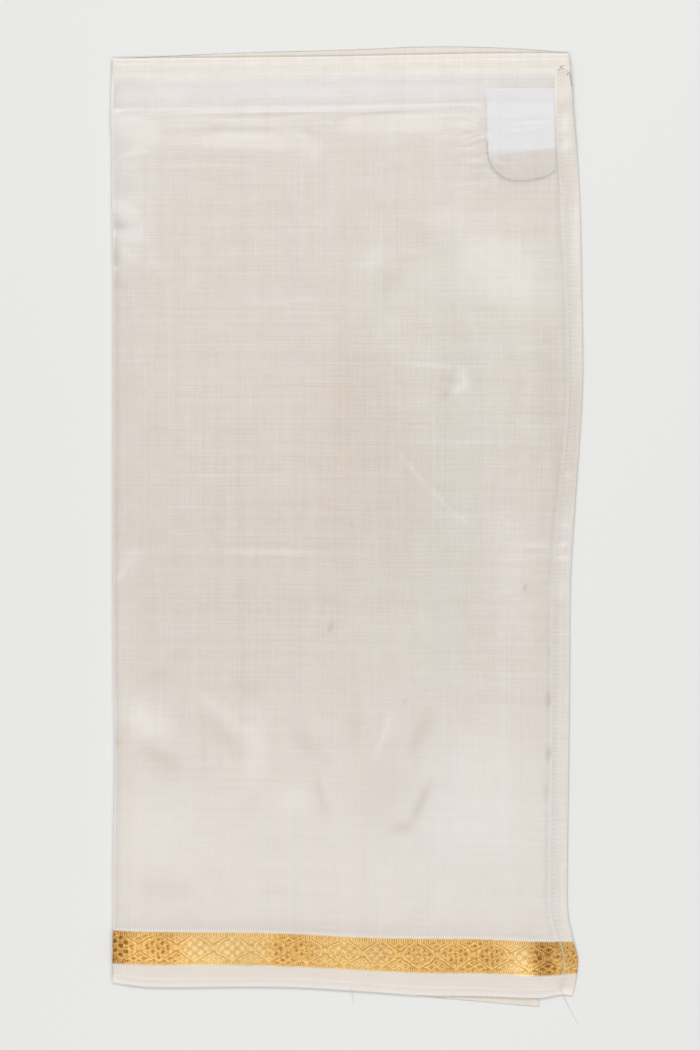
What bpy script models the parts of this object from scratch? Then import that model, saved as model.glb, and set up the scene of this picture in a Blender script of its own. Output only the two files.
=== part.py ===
"""A silk dhoti, hemmed, folded along its length into a flat rectangle and laid on a surface.

The upper stretch of cloth rolls round the left fold and ends as a narrow tail on the surface, where the
under stretch carries on. Between the two lies the rest of the length, as one solid of folded layers.
Blender metres, +Z up, +Y towards the hemmed upper edge, +X towards the hemmed cut end.
Places on the cloth are given in millimetres: along is counted from the left fold to the right, and down
is counted from the hemmed upper edge towards the gold border.
"""

import math
from collections import namedtuple

import bmesh
import bpy

MM = 0.001

# Heights and walls of the stack, in millimetres.
WALL = 1.0  # plain silk, as the outermost stretch of cloth
HEM_WALL = 1.3  # cloth turned under twice and stitched
BORDER_WALL = 1.2  # zari weave, closer and thicker than the ground
SEAM = 0.3  # gap between pieces that meet
EDGE_TOP = 3.3  # top of the upper stretch where only the under stretch lies below it
STACK_TOP = 5.0  # top of the upper stretch where it lies on the folded layers
FOLDED_TOP = 3.3  # top of the folded layers
DEEPEST_TROUGH = 0.4  # how far a trough may sink into the air above the folded layers

# Parts of the cloth, in millimetres.
TOP_HEM = 11.0  # width of the hem along the upper edge
STEP_DOWN = 36.8  # from the upper edge to the middle of the step up onto the folded layers
STEP_HALF = 3.0
SHOULDER_IN = 4.0  # the upper stretch starts to come down this far before the side hem
SHOULDER_OUT = 5.0
DRAPE_IN = 3.0  # from here on nothing but the surface lies below the cut end
DRAPE_OUT = 11.0
LOWEST_TOP = 1.5  # top of the cloth where it reaches the surface
FOOT_FALL = 7.0  # the upper stretch comes down along its foot
FOOT_SHARE = 0.9
EDGE_FALL = 0.4  # and a little more where its upper and lower edges meet the under stretch
EDGE_FALL_WIDTH = 4.5
TAIL_END = 8.0  # the rolled tail of the upper stretch ends this far from the fold

# The outline down the cloth: the left fold, the inner edge of the side hem, and the right edge.
Side = namedtuple("Side", "down left hem right")
SIDES = (
    Side(-2, 0.0, 301.5, 310.2),
    Side(16, -0.4, 302.0, 312.1),
    Side(37, -0.8, 302.3, 313.5),
    Side(64, 0.0, 303.5, 315.9),
    Side(105, 0.3, 306.4, 318.2),
    Side(159, 0.9, 309.4, 319.3),
    Side(220, 0.9, 310.5, 319.9),
    Side(254, 0.9, 309.2, 318.2),
    Side(309, 0.9, 303.6, 314.5),
    Side(356, 0.9, 299.8, 311.6),
    Side(411, 1.1, 299.4, 311.1),
    Side(470, 2.0, 298.8, 310.5),
    Side(560, 0.8, 298.1, 309.4),
    Side(583, 0.9, 298.6, 309.9),
    Side(602, 0.4, 303.4, 313.8),
    Side(613, 0.3, 306.2, 316.5),
    Side(624, 0.2, 305.6, 315.9),
    Side(641, 0.1, 303.8, 312.5),
)

# The outline along the cloth: the upper edge, the gold border's two edges and the selvedge.
Span = namedtuple("Span", "along top border_top border_foot foot")
SPANS = (
    Span(0, 1.6, 593.8, 616.6, 629.5),
    Span(25, 1.3, 594.6, 617.6, 632.6),
    Span(90, 0.9, 595.1, 617.9, 632.4),
    Span(125, 0.4, 596.1, 618.8, 632.8),
    Span(155, 0.1, 597.7, 620.4, 634.5),
    Span(180, -0.5, 598.8, 621.8, 636.2),
    Span(210, -1.0, 599.3, 623.1, 638.3),
    Span(250, -1.8, 599.7, 623.4, 638.9),
    Span(290, -2.0, 601.4, 625.0, 640.2),
    Span(305, -2.0, 601.5, 624.4, 637.9),
    Span(320, -2.0, 601.5, 623.8, 639.5),
)

# The under stretch shows a little above the upper edge and below the selvedge.
UnderSpan = namedtuple("UnderSpan", "along top foot")
UNDER_SPANS = (
    UnderSpan(0, 1.6, 627.0),
    UnderSpan(25, 0.5, 630.5),
    UnderSpan(90, -2.3, 630.4),
    UnderSpan(155, -4.0, 632.5),
    UnderSpan(180, -5.0, 634.8),
    UnderSpan(210, -6.3, 638.9),
    UnderSpan(250, -6.1, 642.6),
    UnderSpan(290, -4.1, 646.0),
    UnderSpan(310, -2.4, 646.3),
)
UNDER_RIGHT_TOP = 309.6
UNDER_RIGHT_FOOT = 290.6
BORDER_WIDTH = 23.0
SELVEDGE_WIDTH = 14.0

# Soft folds of the upper stretch. Turn is in degrees from the along direction, anticlockwise from above.
# Widths and lengths are half sizes, and a trough has a negative height.
Fold = namedtuple("Fold", "along down length width turn height")
FOLDS = (
    Fold(82, 44.5, 78, 4.2, 1, 0.9),  # ripples below the step
    Fold(100, 50.5, 48, 3.0, -1, -0.4),
    Fold(92, 56.5, 62, 4.2, -2, 0.9),
    Fold(205, 44.5, 60, 4.6, 1, 0.8),
    Fold(10, 47, 17, 6.5, 4, 1.4),  # puffs along the left fold
    Fold(19, 63, 18, 3.6, 22, 0.8),
    Fold(10, 104, 15, 6, -20, 1.2),
    Fold(19, 120, 19, 7.5, -12, 1.5),
    Fold(13, 137, 14, 5.5, -20, 1.0),
    Fold(263, 140, 46, 17, -30, 1.8),  # broad swells below the label
    Fold(175, 142, 34, 10, 60, 0.9),
    Fold(226, 107, 26, 12, -20, 0.8),
    Fold(238, 219, 15, 5, 35, 1.0),  # a dent and a diagonal crease in the middle
    Fold(215, 209, 28, 4, -3, 0.5),
    Fold(219, 295, 34, 4, -48, 0.6),
    Fold(22, 449, 32, 10, -34, 1.8),  # soft folds above the border
    Fold(34, 477, 30, 7, -30, -0.4),
    Fold(92, 455, 52, 11, -42, 1.3),
    Fold(72, 462, 34, 7, -42, -0.4),
    Fold(112, 500, 60, 17, -34, 1.3),
    Fold(150, 500, 40, 9, -70, 1.0),
    Fold(184, 462, 34, 7, 70, 1.3),
    Fold(209, 457, 24, 5, 66, -0.4),
    Fold(210, 507, 26, 5, 64, -0.4),
    Fold(234, 495, 56, 15, 70, 1.5),
    Fold(268, 500, 60, 14, 82, 1.0),
    Fold(40, 598, 48, 15, 4, 0.7),
    Fold(284, 612, 28, 9, 90, 1.5),  # the border's right end curls
    Fold(300, 612, 24, 5, 90, -0.4),
    Fold(310, 613, 22, 5, 90, 0.8),
)

# The care label hangs from the upper edge of its rectangle, and its free end is rounded.
LABEL_LEFT = 254.7
LABEL_RIGHT = 301.0
LABEL_TOP = 22.0
LABEL_SQUARE = 42.0  # length of the part with straight sides
LABEL_ROUND = 21.5  # length of the rounded free end
LABEL_WALL = 0.9
LABEL_GAP = 0.75  # between the label and the cloth that lies on it
LABEL_RISE = 1.6  # how far the label lifts the upper stretch
LABEL_MARGIN = 9.0  # the lift dies out this far outside the label

# Stations of the grids, in millimetres.
GROUND_ROWS = (  # from, to, rows
    (11.0, 33.0, 4),
    (33.0, 66.0, 11),
    (66.0, 150.0, 10),
    (150.0, 430.0, 15),
    (430.0, 530.0, 9),
)
GROUND_LAST_ROWS = 5
ROLL_STEPS = 4
NEAR_FOLD_ALONG = 24.0
NEAR_LABEL_ALONG = 244.0
SHOULDER_WIDTH = 10.0
FLAT_COLUMNS = (4, 19, 7, 3)  # beside the fold, across the middle, over the label, down to the right edge

# The folded layers, from the lowest: how far each stands back from the outline on its four sides.
Layer = namedtuple("Layer", "left right top foot")
LAYERS = (
    Layer(4.0, 7.5, 1.0, 6.4),
    Layer(4.8, 5.2, 2.6, 8.0),
    Layer(4.2, 6.4, 0.0, 7.2),
)
LAYER_OVERLAP = 0.12
LAYER_BEVEL = 0.22
LAYER_ROWS = 18

Finish = namedtuple("Finish", "colour roughness metallic")
SILK = Finish((0.74, 0.68, 0.61), 0.5, 0.0)
HEM_SILK = Finish((0.82, 0.77, 0.71), 0.5, 0.0)
ZARI = Finish((0.77, 0.5, 0.18), 0.35, 0.7)
LABEL_SATIN = Finish((0.86, 0.86, 0.88), 0.4, 0.0)


def curve_through(rows, key, value, place):
    """Reads a column of a table at a place, on a smooth curve through its rows (Catmull-Rom)."""
    at = [getattr(row, key) for row in rows]
    heights = [getattr(row, value) for row in rows]
    place = min(max(place, at[0]), at[-1])
    last = len(at) - 2
    i = next((n for n in range(last + 1) if place <= at[n + 1]), last)
    span = at[i + 1] - at[i]
    t = (place - at[i]) / span

    def slope(n):
        before, after = max(n - 1, 0), min(n + 1, len(at) - 1)
        return (heights[after] - heights[before]) / (at[after] - at[before])

    return (
        heights[i] * (2 * t**3 - 3 * t**2 + 1)
        + slope(i) * span * (t**3 - 2 * t**2 + t)
        + heights[i + 1] * (3 * t**2 - 2 * t**3)
        + slope(i + 1) * span * (t**3 - t**2)
    )


def side(name, down):
    return curve_through(SIDES, "down", name, down)


def span(name, along):
    return curve_through(SPANS, "along", name, along)


def under_span(name, along):
    return curve_through(UNDER_SPANS, "along", name, along)


def mix(a, b, t):
    return a + (b - a) * t


def ease(a, b, value):
    """0 below a, 1 above b, and smooth between."""
    t = min(max((value - a) / (b - a), 0.0), 1.0)
    return t * t * (3 - 2 * t)


def fold_height(fold, along, down):
    """One soft fold: round across, and dying out towards its two ends."""
    turn = math.radians(fold.turn)
    right, up = along - fold.along, fold.down - down
    lengthwise = (right * math.cos(turn) + up * math.sin(turn)) / fold.length
    if abs(lengthwise) >= 1:
        return 0.0
    across = (up * math.cos(turn) - right * math.sin(turn)) / fold.width
    return fold.height * (1 - lengthwise**2) ** 2 * math.exp(-(across**2))


def label_lift(along, down):
    """How far the label lifts the cloth that lies on it."""
    foot = LABEL_TOP + LABEL_SQUARE + LABEL_ROUND
    across = ease(LABEL_LEFT - LABEL_MARGIN, LABEL_LEFT, along)
    across *= 1 - ease(LABEL_RIGHT, LABEL_RIGHT + LABEL_MARGIN, along)
    lengthwise = ease(LABEL_TOP - LABEL_MARGIN, LABEL_TOP, down)
    lengthwise *= 1 - ease(foot, foot + LABEL_MARGIN, down)
    return LABEL_RISE * across * lengthwise


def under_right(down):
    """The under stretch is folded a little askew, so its right edge slants inwards towards the foot."""
    return mix(UNDER_RIGHT_TOP, UNDER_RIGHT_FOOT, down / under_span("foot", UNDER_RIGHT_FOOT))


def upper_surface(along, down):
    """Height of the upper stretch's outer face above the surface that the cloth lies on."""
    top = span("top", along)
    on_stack = ease(STEP_DOWN - STEP_HALF, STEP_DOWN + STEP_HALF, down - top)
    hem = side("hem", down)
    on_stack *= 1 - ease(hem - SHOULDER_IN, hem + SHOULDER_OUT, along)
    foot = span("foot", along)
    on_stack *= 1 - FOOT_SHARE * ease(foot - FOOT_FALL, foot + 1, down)
    supported = max(under_right(down), hem - DRAPE_IN)
    smooth = mix(EDGE_TOP, STACK_TOP, on_stack)
    smooth -= EDGE_FALL * (1 - ease(0, EDGE_FALL_WIDTH, min(down - top, foot - down)))
    smooth = mix(smooth, LOWEST_TOP, ease(0, DRAPE_OUT, along - supported))
    relief = max(sum(fold_height(f, along, down) for f in FOLDS), -DEEPEST_TROUGH)
    relief *= ease(0, STEP_DOWN - STEP_HALF, down)
    return max(smooth + relief + label_lift(along, down), LOWEST_TOP)


# The origin lies under the middle of the outline.
MID_ALONG = (min(row.left for row in SIDES) + max(row.right for row in SIDES)) / 2
MID_DOWN = (min(row.top for row in UNDER_SPANS) + under_span("foot", UNDER_RIGHT_FOOT)) / 2


def world(along, down, height):
    return ((along - MID_ALONG) * MM, (MID_DOWN - down) * MM, height * MM)


def material(name, finish):
    made = bpy.data.materials.new(name)
    made.use_nodes = True
    shader = made.node_tree.nodes["Principled BSDF"]
    shader.inputs["Base Color"].default_value = (*finish.colour, 1)
    shader.inputs["Roughness"].default_value = finish.roughness
    shader.inputs["Metallic"].default_value = finish.metallic
    return made


def sheet(name, columns, rows, place, wall, finish, collection):
    """An open grid, its points set by place(column, row), thickened inwards to a wall of cloth."""
    cloth = bmesh.new()
    bmesh.ops.create_grid(cloth, x_segments=columns, y_segments=rows, size=0.5)
    for point in cloth.verts:
        column = round((point.co.x + 0.5) * columns)
        row = round((0.5 - point.co.y) * rows)
        point.co = place(column, row)
    mesh = bpy.data.meshes.new(name)
    cloth.to_mesh(mesh)
    cloth.free()
    mesh.shade_smooth()
    mesh.materials.append(material(name, finish))
    piece = bpy.data.objects.new(name, mesh)
    collection.objects.link(piece)
    thicken = piece.modifiers.new("wall", "SOLIDIFY")
    thicken.thickness = wall * MM
    thicken.offset = -1
    return piece


def rolled_column(column, right_end, down):
    """A point of a section that starts as a tail under the left fold, rolls round it and runs to right_end."""
    left = side("left", down)
    radius = upper_surface(left + EDGE_TOP / 2, down) / 2
    if column == 0:
        return TAIL_END, 0.0
    if column <= ROLL_STEPS + 1:
        angle = math.pi * (column - 1) / ROLL_STEPS
        return left + radius - radius * math.sin(angle), radius - radius * math.cos(angle)
    start = left + radius
    near = max(NEAR_FOLD_ALONG, start + 1)
    shoulder = right_end - SHOULDER_WIDTH
    i = column - ROLL_STEPS - 1
    stops = (start, near, NEAR_LABEL_ALONG, shoulder, right_end)
    for begin, end, count in zip(stops, stops[1:], FLAT_COLUMNS):
        if i <= count:
            along = mix(begin, end, i / count)
            break
        i -= count
    return along, upper_surface(along, down)


def rolled_strip(name, right_column, top_of, foot_of, row_places, wall, finish, collection):
    """A stretch of the upper cloth between two lines across it, rolled round the left fold.

    top_of and foot_of give the lines' places at a distance along, row_places the rows' shares between them.
    """
    columns = 1 + ROLL_STEPS + sum(FLAT_COLUMNS)

    def place(column, row):
        share = row_places[row]
        along = side("right", mix(top_of(0), foot_of(0), share)) * column / columns
        for _ in range(3):  # the row's place depends a little on how far along the point is
            down = mix(top_of(along), foot_of(along), share)
            right_end = side(right_column, down) - (SEAM if right_column == "hem" else 0)
            along, height = rolled_column(column, right_end, down)
        return world(along, mix(top_of(along), foot_of(along), share), height)

    return sheet(name, columns, len(row_places) - 1, place, wall, finish, collection)


def ground_row_shares():
    """Rows of the ground cloth as shares of its length, closer together where it folds most."""
    first = GROUND_ROWS[0][0]
    total = SPANS[0].border_top - first
    places = [first]
    for start, end, count in GROUND_ROWS:
        places += [mix(start, end, (n + 1) / count) for n in range(count)]
    last = places[-1]
    end = first + total
    places += [mix(last, end, (n + 1) / GROUND_LAST_ROWS) for n in range(GROUND_LAST_ROWS)]
    return [(p - first) / total for p in places]


def even_shares(count):
    return [n / count for n in range(count + 1)]


def hem_foot(along):
    return span("top", along) + TOP_HEM


def upper_stretch(collection):
    """The pieces of the stretch that lies uppermost, from the upper hem to the selvedge."""
    half = SEAM / 2
    rolled_strip(
        "upper_hem", "right",
        lambda along: span("top", along),
        lambda along: hem_foot(along) - half,
        even_shares(2), HEM_WALL, HEM_SILK, collection,
    )
    rolled_strip(
        "ground_cloth", "hem",
        lambda along: hem_foot(along) + half,
        lambda along: span("border_top", along) - half,
        ground_row_shares(), WALL, SILK, collection,
    )
    rolled_strip(
        "zari_border", "right",
        lambda along: span("border_top", along) + half,
        lambda along: span("border_foot", along) - half,
        even_shares(3), BORDER_WALL, ZARI, collection,
    )
    rolled_strip(
        "selvedge", "right",
        lambda along: span("border_foot", along) + half,
        lambda along: span("foot", along),
        even_shares(2), WALL, SILK, collection,
    )


def side_hem(collection):
    """The hem sewn along the cut end, between the upper hem and the gold border."""
    shares = ground_row_shares()
    half = SEAM / 2

    def place(column, row):
        top = hem_foot(SIDES[0].right) + half
        foot = span("border_top", SIDES[0].right) - half
        down = mix(top, foot, shares[row])
        along = mix(side("hem", down), side("right", down), column / 2)
        return world(along, down, upper_surface(along, down))

    sheet("side_hem", 2, len(shares) - 1, place, HEM_WALL, HEM_SILK, collection)


def care_label(collection):
    """The blank label between the upper stretch and the folded layers, following the cloth that covers it."""
    columns, square_rows, round_rows = 8, 6, 5
    middle = (LABEL_LEFT + LABEL_RIGHT) / 2
    half_width = (LABEL_RIGHT - LABEL_LEFT) / 2

    def place(column, row):
        if row <= square_rows:
            down = LABEL_TOP + LABEL_SQUARE * row / square_rows
            half = half_width
        else:
            angle = math.radians(78) * (row - square_rows) / round_rows
            down = LABEL_TOP + LABEL_SQUARE + LABEL_ROUND * math.sin(angle)
            half = half_width * math.cos(angle)
        along = middle + half * (2 * column / columns - 1)
        return world(along, down, upper_surface(along, down) - WALL - LABEL_GAP)

    rows = square_rows + round_rows
    sheet("care_label", columns, rows, place, LABEL_WALL, LABEL_SATIN, collection)


def under_stretch(collection):
    """The pieces of the stretch that lies on the surface. Their undersides are flat."""
    half = SEAM / 2

    def foot(along):
        return under_span("foot", along)

    def selvedge_top(along):
        return foot(along) - SELVEDGE_WIDTH

    def border_top(along):
        return selvedge_top(along) - BORDER_WIDTH

    def hem_foot_under(along):
        return under_span("top", along) + TOP_HEM

    strips = (
        ("under_hem", lambda a: under_span("top", a), lambda a: hem_foot_under(a) - half, 1, HEM_WALL, HEM_SILK),
        ("under_ground", lambda a: hem_foot_under(a) + half, lambda a: border_top(a) - half, 12, WALL, SILK),
        ("under_border", lambda a: border_top(a) + half, lambda a: selvedge_top(a) - half, 1, BORDER_WALL, ZARI),
        ("under_selvedge", lambda a: selvedge_top(a) + half, foot, 1, WALL, SILK),
    )
    columns = 14
    start = TAIL_END + SEAM
    for name, top_of, foot_of, rows, wall, finish in strips:

        def place(column, row):
            along = mix(start, UNDER_RIGHT_TOP, column / columns)
            down = mix(top_of(along), foot_of(along), row / rows)
            along = mix(start, under_right(down), column / columns)
            return world(along, mix(top_of(along), foot_of(along), row / rows), wall)

        sheet(name, columns, rows, place, wall, finish, collection)


def folded_layers(collection, helpers):
    """The hidden rest of the length: layers that overlap a little in height, joined into one solid."""
    lowest = WALL + SEAM
    depth = (FOLDED_TOP - lowest) / len(LAYERS)
    slabs = []
    for number, layer in enumerate(LAYERS):
        top = lowest + depth * (number + 1) + (LAYER_OVERLAP if number + 1 < len(LAYERS) else 0)

        def place(column, row):
            share = row / LAYER_ROWS
            along = mix(0, SIDES[0].hem, column / 12)
            for _ in range(3):
                first = span("top", along) + STEP_DOWN + STEP_HALF + layer.top
                down = mix(first, span("foot", along) - layer.foot, share)
                right = side("hem", down) - layer.right
                along = mix(side("left", down) + layer.left, right, column / 12)
            return world(along, down, top)

        name = "folded_layers" if number == 0 else f"layer_{number + 1}"
        wall = depth + (LAYER_OVERLAP if number + 1 < len(LAYERS) else 0)
        slab = sheet(name, 12, LAYER_ROWS, place, wall, SILK, collection if number == 0 else helpers)
        soften = slab.modifiers.new("rounded rim", "BEVEL")
        soften.width = LAYER_BEVEL * MM
        soften.segments = 2
        soften.limit_method = "ANGLE"
        slabs.append(slab)
    for slab in slabs[1:]:
        slab.hide_render = True
        slab.display_type = "WIRE"
        join = slabs[0].modifiers.new(slab.name, "BOOLEAN")
        join.operation = "UNION"
        join.object = slab


def main():
    for old in list(bpy.data.objects):
        bpy.data.objects.remove(old)
    dhoti = bpy.data.collections.new("folded dhoti")
    helpers = bpy.data.collections.new("helpers")
    bpy.context.scene.collection.children.link(dhoti)
    bpy.context.scene.collection.children.link(helpers)
    upper_stretch(dhoti)
    side_hem(dhoti)
    care_label(dhoti)
    folded_layers(dhoti, helpers)
    under_stretch(dhoti)


main()
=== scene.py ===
# %% [markdown]
# # A folded silk dhoti
# A dhoti is one long cloth that is wrapped and pleated on the body. This one is raw silk, with a gold border
# woven in along its lower edge. It is folded lengthwise again and again into a flat rectangle. This lesson
# dresses the plain solids of the frame: thin cloth, weave, stitches and the gold figure.

# %% Load the frame
import math
from collections import namedtuple

import bmesh
import bpy
import numpy as np
from mathutils import Matrix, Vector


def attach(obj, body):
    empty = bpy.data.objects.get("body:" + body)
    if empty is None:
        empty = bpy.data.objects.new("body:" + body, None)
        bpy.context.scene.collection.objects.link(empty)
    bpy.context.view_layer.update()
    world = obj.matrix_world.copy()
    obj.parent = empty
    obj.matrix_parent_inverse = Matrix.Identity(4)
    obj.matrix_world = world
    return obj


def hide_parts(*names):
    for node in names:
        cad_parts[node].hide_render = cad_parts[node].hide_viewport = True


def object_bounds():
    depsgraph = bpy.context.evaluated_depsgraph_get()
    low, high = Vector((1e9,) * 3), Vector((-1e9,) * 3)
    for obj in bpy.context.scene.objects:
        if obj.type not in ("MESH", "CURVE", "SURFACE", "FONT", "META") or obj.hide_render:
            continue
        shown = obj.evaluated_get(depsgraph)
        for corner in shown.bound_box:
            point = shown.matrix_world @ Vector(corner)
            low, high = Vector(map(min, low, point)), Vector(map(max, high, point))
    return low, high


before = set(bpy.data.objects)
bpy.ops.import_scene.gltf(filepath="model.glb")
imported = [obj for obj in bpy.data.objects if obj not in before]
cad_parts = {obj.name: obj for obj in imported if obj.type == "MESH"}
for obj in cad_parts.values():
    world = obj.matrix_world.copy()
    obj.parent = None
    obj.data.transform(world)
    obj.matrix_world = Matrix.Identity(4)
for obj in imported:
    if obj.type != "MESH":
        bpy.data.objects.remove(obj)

cad_box = [list(corner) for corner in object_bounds()]
MM = 0.001
print("nodes:", ", ".join(sorted(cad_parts)))
print("box in mm:", [[round(v / MM, 1) for v in corner] for corner in cad_box])

# %% [markdown]
# ## Where things are on the cloth
# Places are in millimetres: along is counted from the left fold, and down from the hemmed upper edge. The
# outline is hand-folded, so nothing is straight. Three short tables hold it, the same as the solids use,
# and a smooth curve is drawn through each column. A curve through a few points bends as cloth does, and a
# row can be changed by hand.

# %% The outline
def table(columns, *rows):
    """Rows of values under the names of their columns."""
    kind = namedtuple("Row", columns)
    return tuple(kind(*row) for row in rows)


SIDES = table(
    "down left hem right",
    (-2, 0.0, 301.5, 310.2),
    (16, -0.4, 302.0, 312.1),
    (37, -0.8, 302.3, 313.5),
    (64, 0.0, 303.5, 315.9),
    (105, 0.3, 306.4, 318.2),
    (159, 0.9, 309.4, 319.3),
    (220, 0.9, 310.5, 319.9),
    (254, 0.9, 309.2, 318.2),
    (309, 0.9, 303.6, 314.5),
    (356, 0.9, 299.8, 311.6),
    (411, 1.1, 299.4, 311.1),
    (470, 2.0, 298.8, 310.5),
    (560, 0.8, 298.1, 309.4),
    (583, 0.9, 298.6, 309.9),
    (602, 0.4, 303.4, 313.8),
    (613, 0.3, 306.2, 316.5),
    (624, 0.2, 305.6, 315.9),
    (641, 0.1, 303.8, 312.5),
)
SPANS = table(
    "along top border_top border_foot foot",
    (0, 1.6, 593.8, 616.6, 629.5),
    (25, 1.3, 594.6, 617.6, 632.6),
    (90, 0.9, 595.1, 617.9, 632.4),
    (125, 0.4, 596.1, 618.8, 632.8),
    (155, 0.1, 597.7, 620.4, 634.5),
    (180, -0.5, 598.8, 621.8, 636.2),
    (210, -1.0, 599.3, 623.1, 638.3),
    (250, -1.8, 599.7, 623.4, 638.9),
    (290, -2.0, 601.4, 625.0, 640.2),
    (305, -2.0, 601.5, 624.4, 637.9),
    (320, -2.0, 601.5, 623.8, 639.5),
)
UNDER_SPANS = table(
    "along top foot",
    (0, 1.6, 627.0), (25, 0.5, 630.5), (90, -2.3, 630.4), (155, -4.0, 632.5), (180, -5.0, 634.8),
    (210, -6.3, 638.9), (250, -6.1, 642.6), (290, -4.1, 646.0), (310, -2.4, 646.3),
)
UNDER_RIGHT_TOP = 309.6
UNDER_RIGHT_FOOT = 290.6
TOP_HEM = 11.0
BORDER_WIDTH = 23.0
SELVEDGE_WIDTH = 14.0


def column_curve(rows, key, value):
    """A smooth curve (Catmull-Rom) through one column of a table, which reads a whole array of places."""
    at = np.array([getattr(row, key) for row in rows], float)
    held = np.array([getattr(row, value) for row in rows], float)
    slope = np.empty_like(at)
    slope[1:-1] = (held[2:] - held[:-2]) / (at[2:] - at[:-2])
    slope[0] = (held[1] - held[0]) / (at[1] - at[0])
    slope[-1] = (held[-1] - held[-2]) / (at[-1] - at[-2])

    def read(place):
        place = np.clip(place, at[0], at[-1])
        i = np.clip(np.searchsorted(at, place) - 1, 0, len(at) - 2)
        width = at[i + 1] - at[i]
        t = (place - at[i]) / width
        return (
            held[i] * (2 * t**3 - 3 * t**2 + 1)
            + slope[i] * width * (t**3 - 2 * t**2 + t)
            + held[i + 1] * (3 * t**2 - 2 * t**3)
            + slope[i + 1] * width * (t**3 - t**2)
        )

    return read


left_fold, hem_line, right_edge = (column_curve(SIDES, "down", name) for name in ("left", "hem", "right"))
top_edge, border_top, border_foot, foot_edge = (
    column_curve(SPANS, "along", name) for name in ("top", "border_top", "border_foot", "foot")
)
under_top, under_foot = (column_curve(UNDER_SPANS, "along", name) for name in ("top", "foot"))


def shifted(line, by):
    """The same line, moved by some millimetres."""

    def read(place):
        return line(place) + by

    return read


hem_foot = shifted(top_edge, TOP_HEM)
MID_ALONG = (min(row.left for row in SIDES) + max(row.right for row in SIDES)) / 2
MID_DOWN = (min(row.top for row in UNDER_SPANS) + float(under_foot(UNDER_RIGHT_FOOT))) / 2
print("the middle of the outline is", round(MID_ALONG, 2), "mm along and", round(MID_DOWN, 2), "mm down")


def under_right(down):
    return UNDER_RIGHT_TOP + (UNDER_RIGHT_FOOT - UNDER_RIGHT_TOP) * down / under_foot(UNDER_RIGHT_FOOT)


def mix(a, b, t):
    return a + (b - a) * t


def ease(a, b, value):
    """0 below a, 1 above b, and smooth between."""
    t = np.clip((value - a) / (b - a), 0, 1)
    return t * t * (3 - 2 * t)


def band(start, full, fading, end, value):
    """0 outside start and end, 1 from full to fading, and smooth between."""
    return ease(start, full, value) * (1 - ease(fading, end, value))


# %% [markdown]
# ## The camera
# The cloth is looked at from straight above, so the camera hangs over it and looks down. A long lens from
# high up keeps the sides of the rectangle parallel. The lens is worked out from the height of the strip of
# floor that has to fit in the frame.

# %% Camera
FRAME_HEIGHT = 0.714
CAMERA_HEIGHT = 2.6
CAMERA_ASIDE = 0.0022
CAMERA_UP = 0.0012


def in_scene(name, data):
    """An object with this data, linked to the scene."""
    made = bpy.data.objects.new(name, data)
    bpy.context.scene.collection.objects.link(made)
    return made


camera_data = bpy.data.cameras.new("camera")
camera_data.sensor_fit = "VERTICAL"
camera_data.lens = camera_data.sensor_height * CAMERA_HEIGHT / FRAME_HEIGHT
camera = in_scene("camera", camera_data)
camera.location = (CAMERA_ASIDE, CAMERA_UP, CAMERA_HEIGHT)
bpy.context.scene.camera = camera
print("lens of", round(camera_data.lens), "mm")

# %% [markdown]
# ## Floor and light
# Pale silk shows its folds only where light slides across it. Two long softboxes stand beyond the upper and
# the lower edge and lean over the cloth, as on a copy stand. The cloth's two ends are then a little brighter
# than its middle, and the upper and lower edges cast a soft shadow while the sides cast none. A faint even
# sky fills the shadows.

# %% Floor and lights
FLOOR_SIDE = 6.0
FLOOR_WHITE = (0.80, 0.80, 0.79)
SOFTBOX_SIZE = (2.2, 0.5)
SKY_WHITE = (1, 1, 1, 1)
SKY_STRENGTH = 0.42
LAMPS = table(
    "name watts place",
    ("upper_softbox", 13.6, (0.1, 1.0, 1.3)),
    ("lower_softbox", 12.2, (-0.1, -1.0, 1.3)),
)


def new_material(name):
    """A material with nodes: the material, its node tree and its shader."""
    made = bpy.data.materials.new(name)
    made.use_nodes = True
    return made, made.node_tree, made.node_tree.nodes["Principled BSDF"]


def plain(name, colour, roughness):
    made, _, shader = new_material(name)
    shader.inputs["Base Color"].default_value = (*colour, 1)
    shader.inputs["Roughness"].default_value = roughness
    return made


def mesh_from(shape, name, material):
    """The bmesh shape as a mesh of one material. The shape is let go."""
    mesh = bpy.data.meshes.new(name)
    shape.to_mesh(mesh)
    shape.free()
    mesh.materials.append(material)
    return mesh


floor_shape = bmesh.new()
bmesh.ops.create_grid(floor_shape, x_segments=1, y_segments=1, size=FLOOR_SIDE / 2)
floor = in_scene("floor", mesh_from(floor_shape, "floor", plain("floor_paper", FLOOR_WHITE, 0.9)))

for lamp in LAMPS:  # long soft lights that look at the middle of the cloth
    data = bpy.data.lights.new(lamp.name, "AREA")
    data.energy = lamp.watts
    data.shape = "RECTANGLE"
    data.size, data.size_y = SOFTBOX_SIZE
    softbox = in_scene(lamp.name, data)
    softbox.location = lamp.place
    x, y, z = lamp.place
    softbox.rotation_euler = (math.atan2(math.hypot(x, y), z), 0, math.atan2(y, x) + math.pi / 2)

world = bpy.data.worlds.new("sky")
world.use_nodes = True
world.node_tree.nodes["Background"].inputs["Color"].default_value = SKY_WHITE
world.node_tree.nodes["Background"].inputs["Strength"].default_value = SKY_STRENGTH
bpy.context.scene.world = world
bpy.context.scene.view_settings.view_transform = "Standard"
print(len(LAMPS), "softboxes and a sky")

# %% [markdown]
# ## The form of the upper stretch
# Below the upper hem the cloth steps up onto the layers folded beneath it. Past the side hem it comes down
# to the surface again. On this smooth form lie the folds. Each fold is one row of a table: where it is,
# half its length and width, its turn, and how high it stands. Rows can be moved and retuned one at a time,
# which a simulation wouldn't allow. The folds follow those of the solids, and the creases after them are
# too fine for solids. A low sharpness gives a crease with a narrow crest, and a high one gives a round
# fold.

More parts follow.
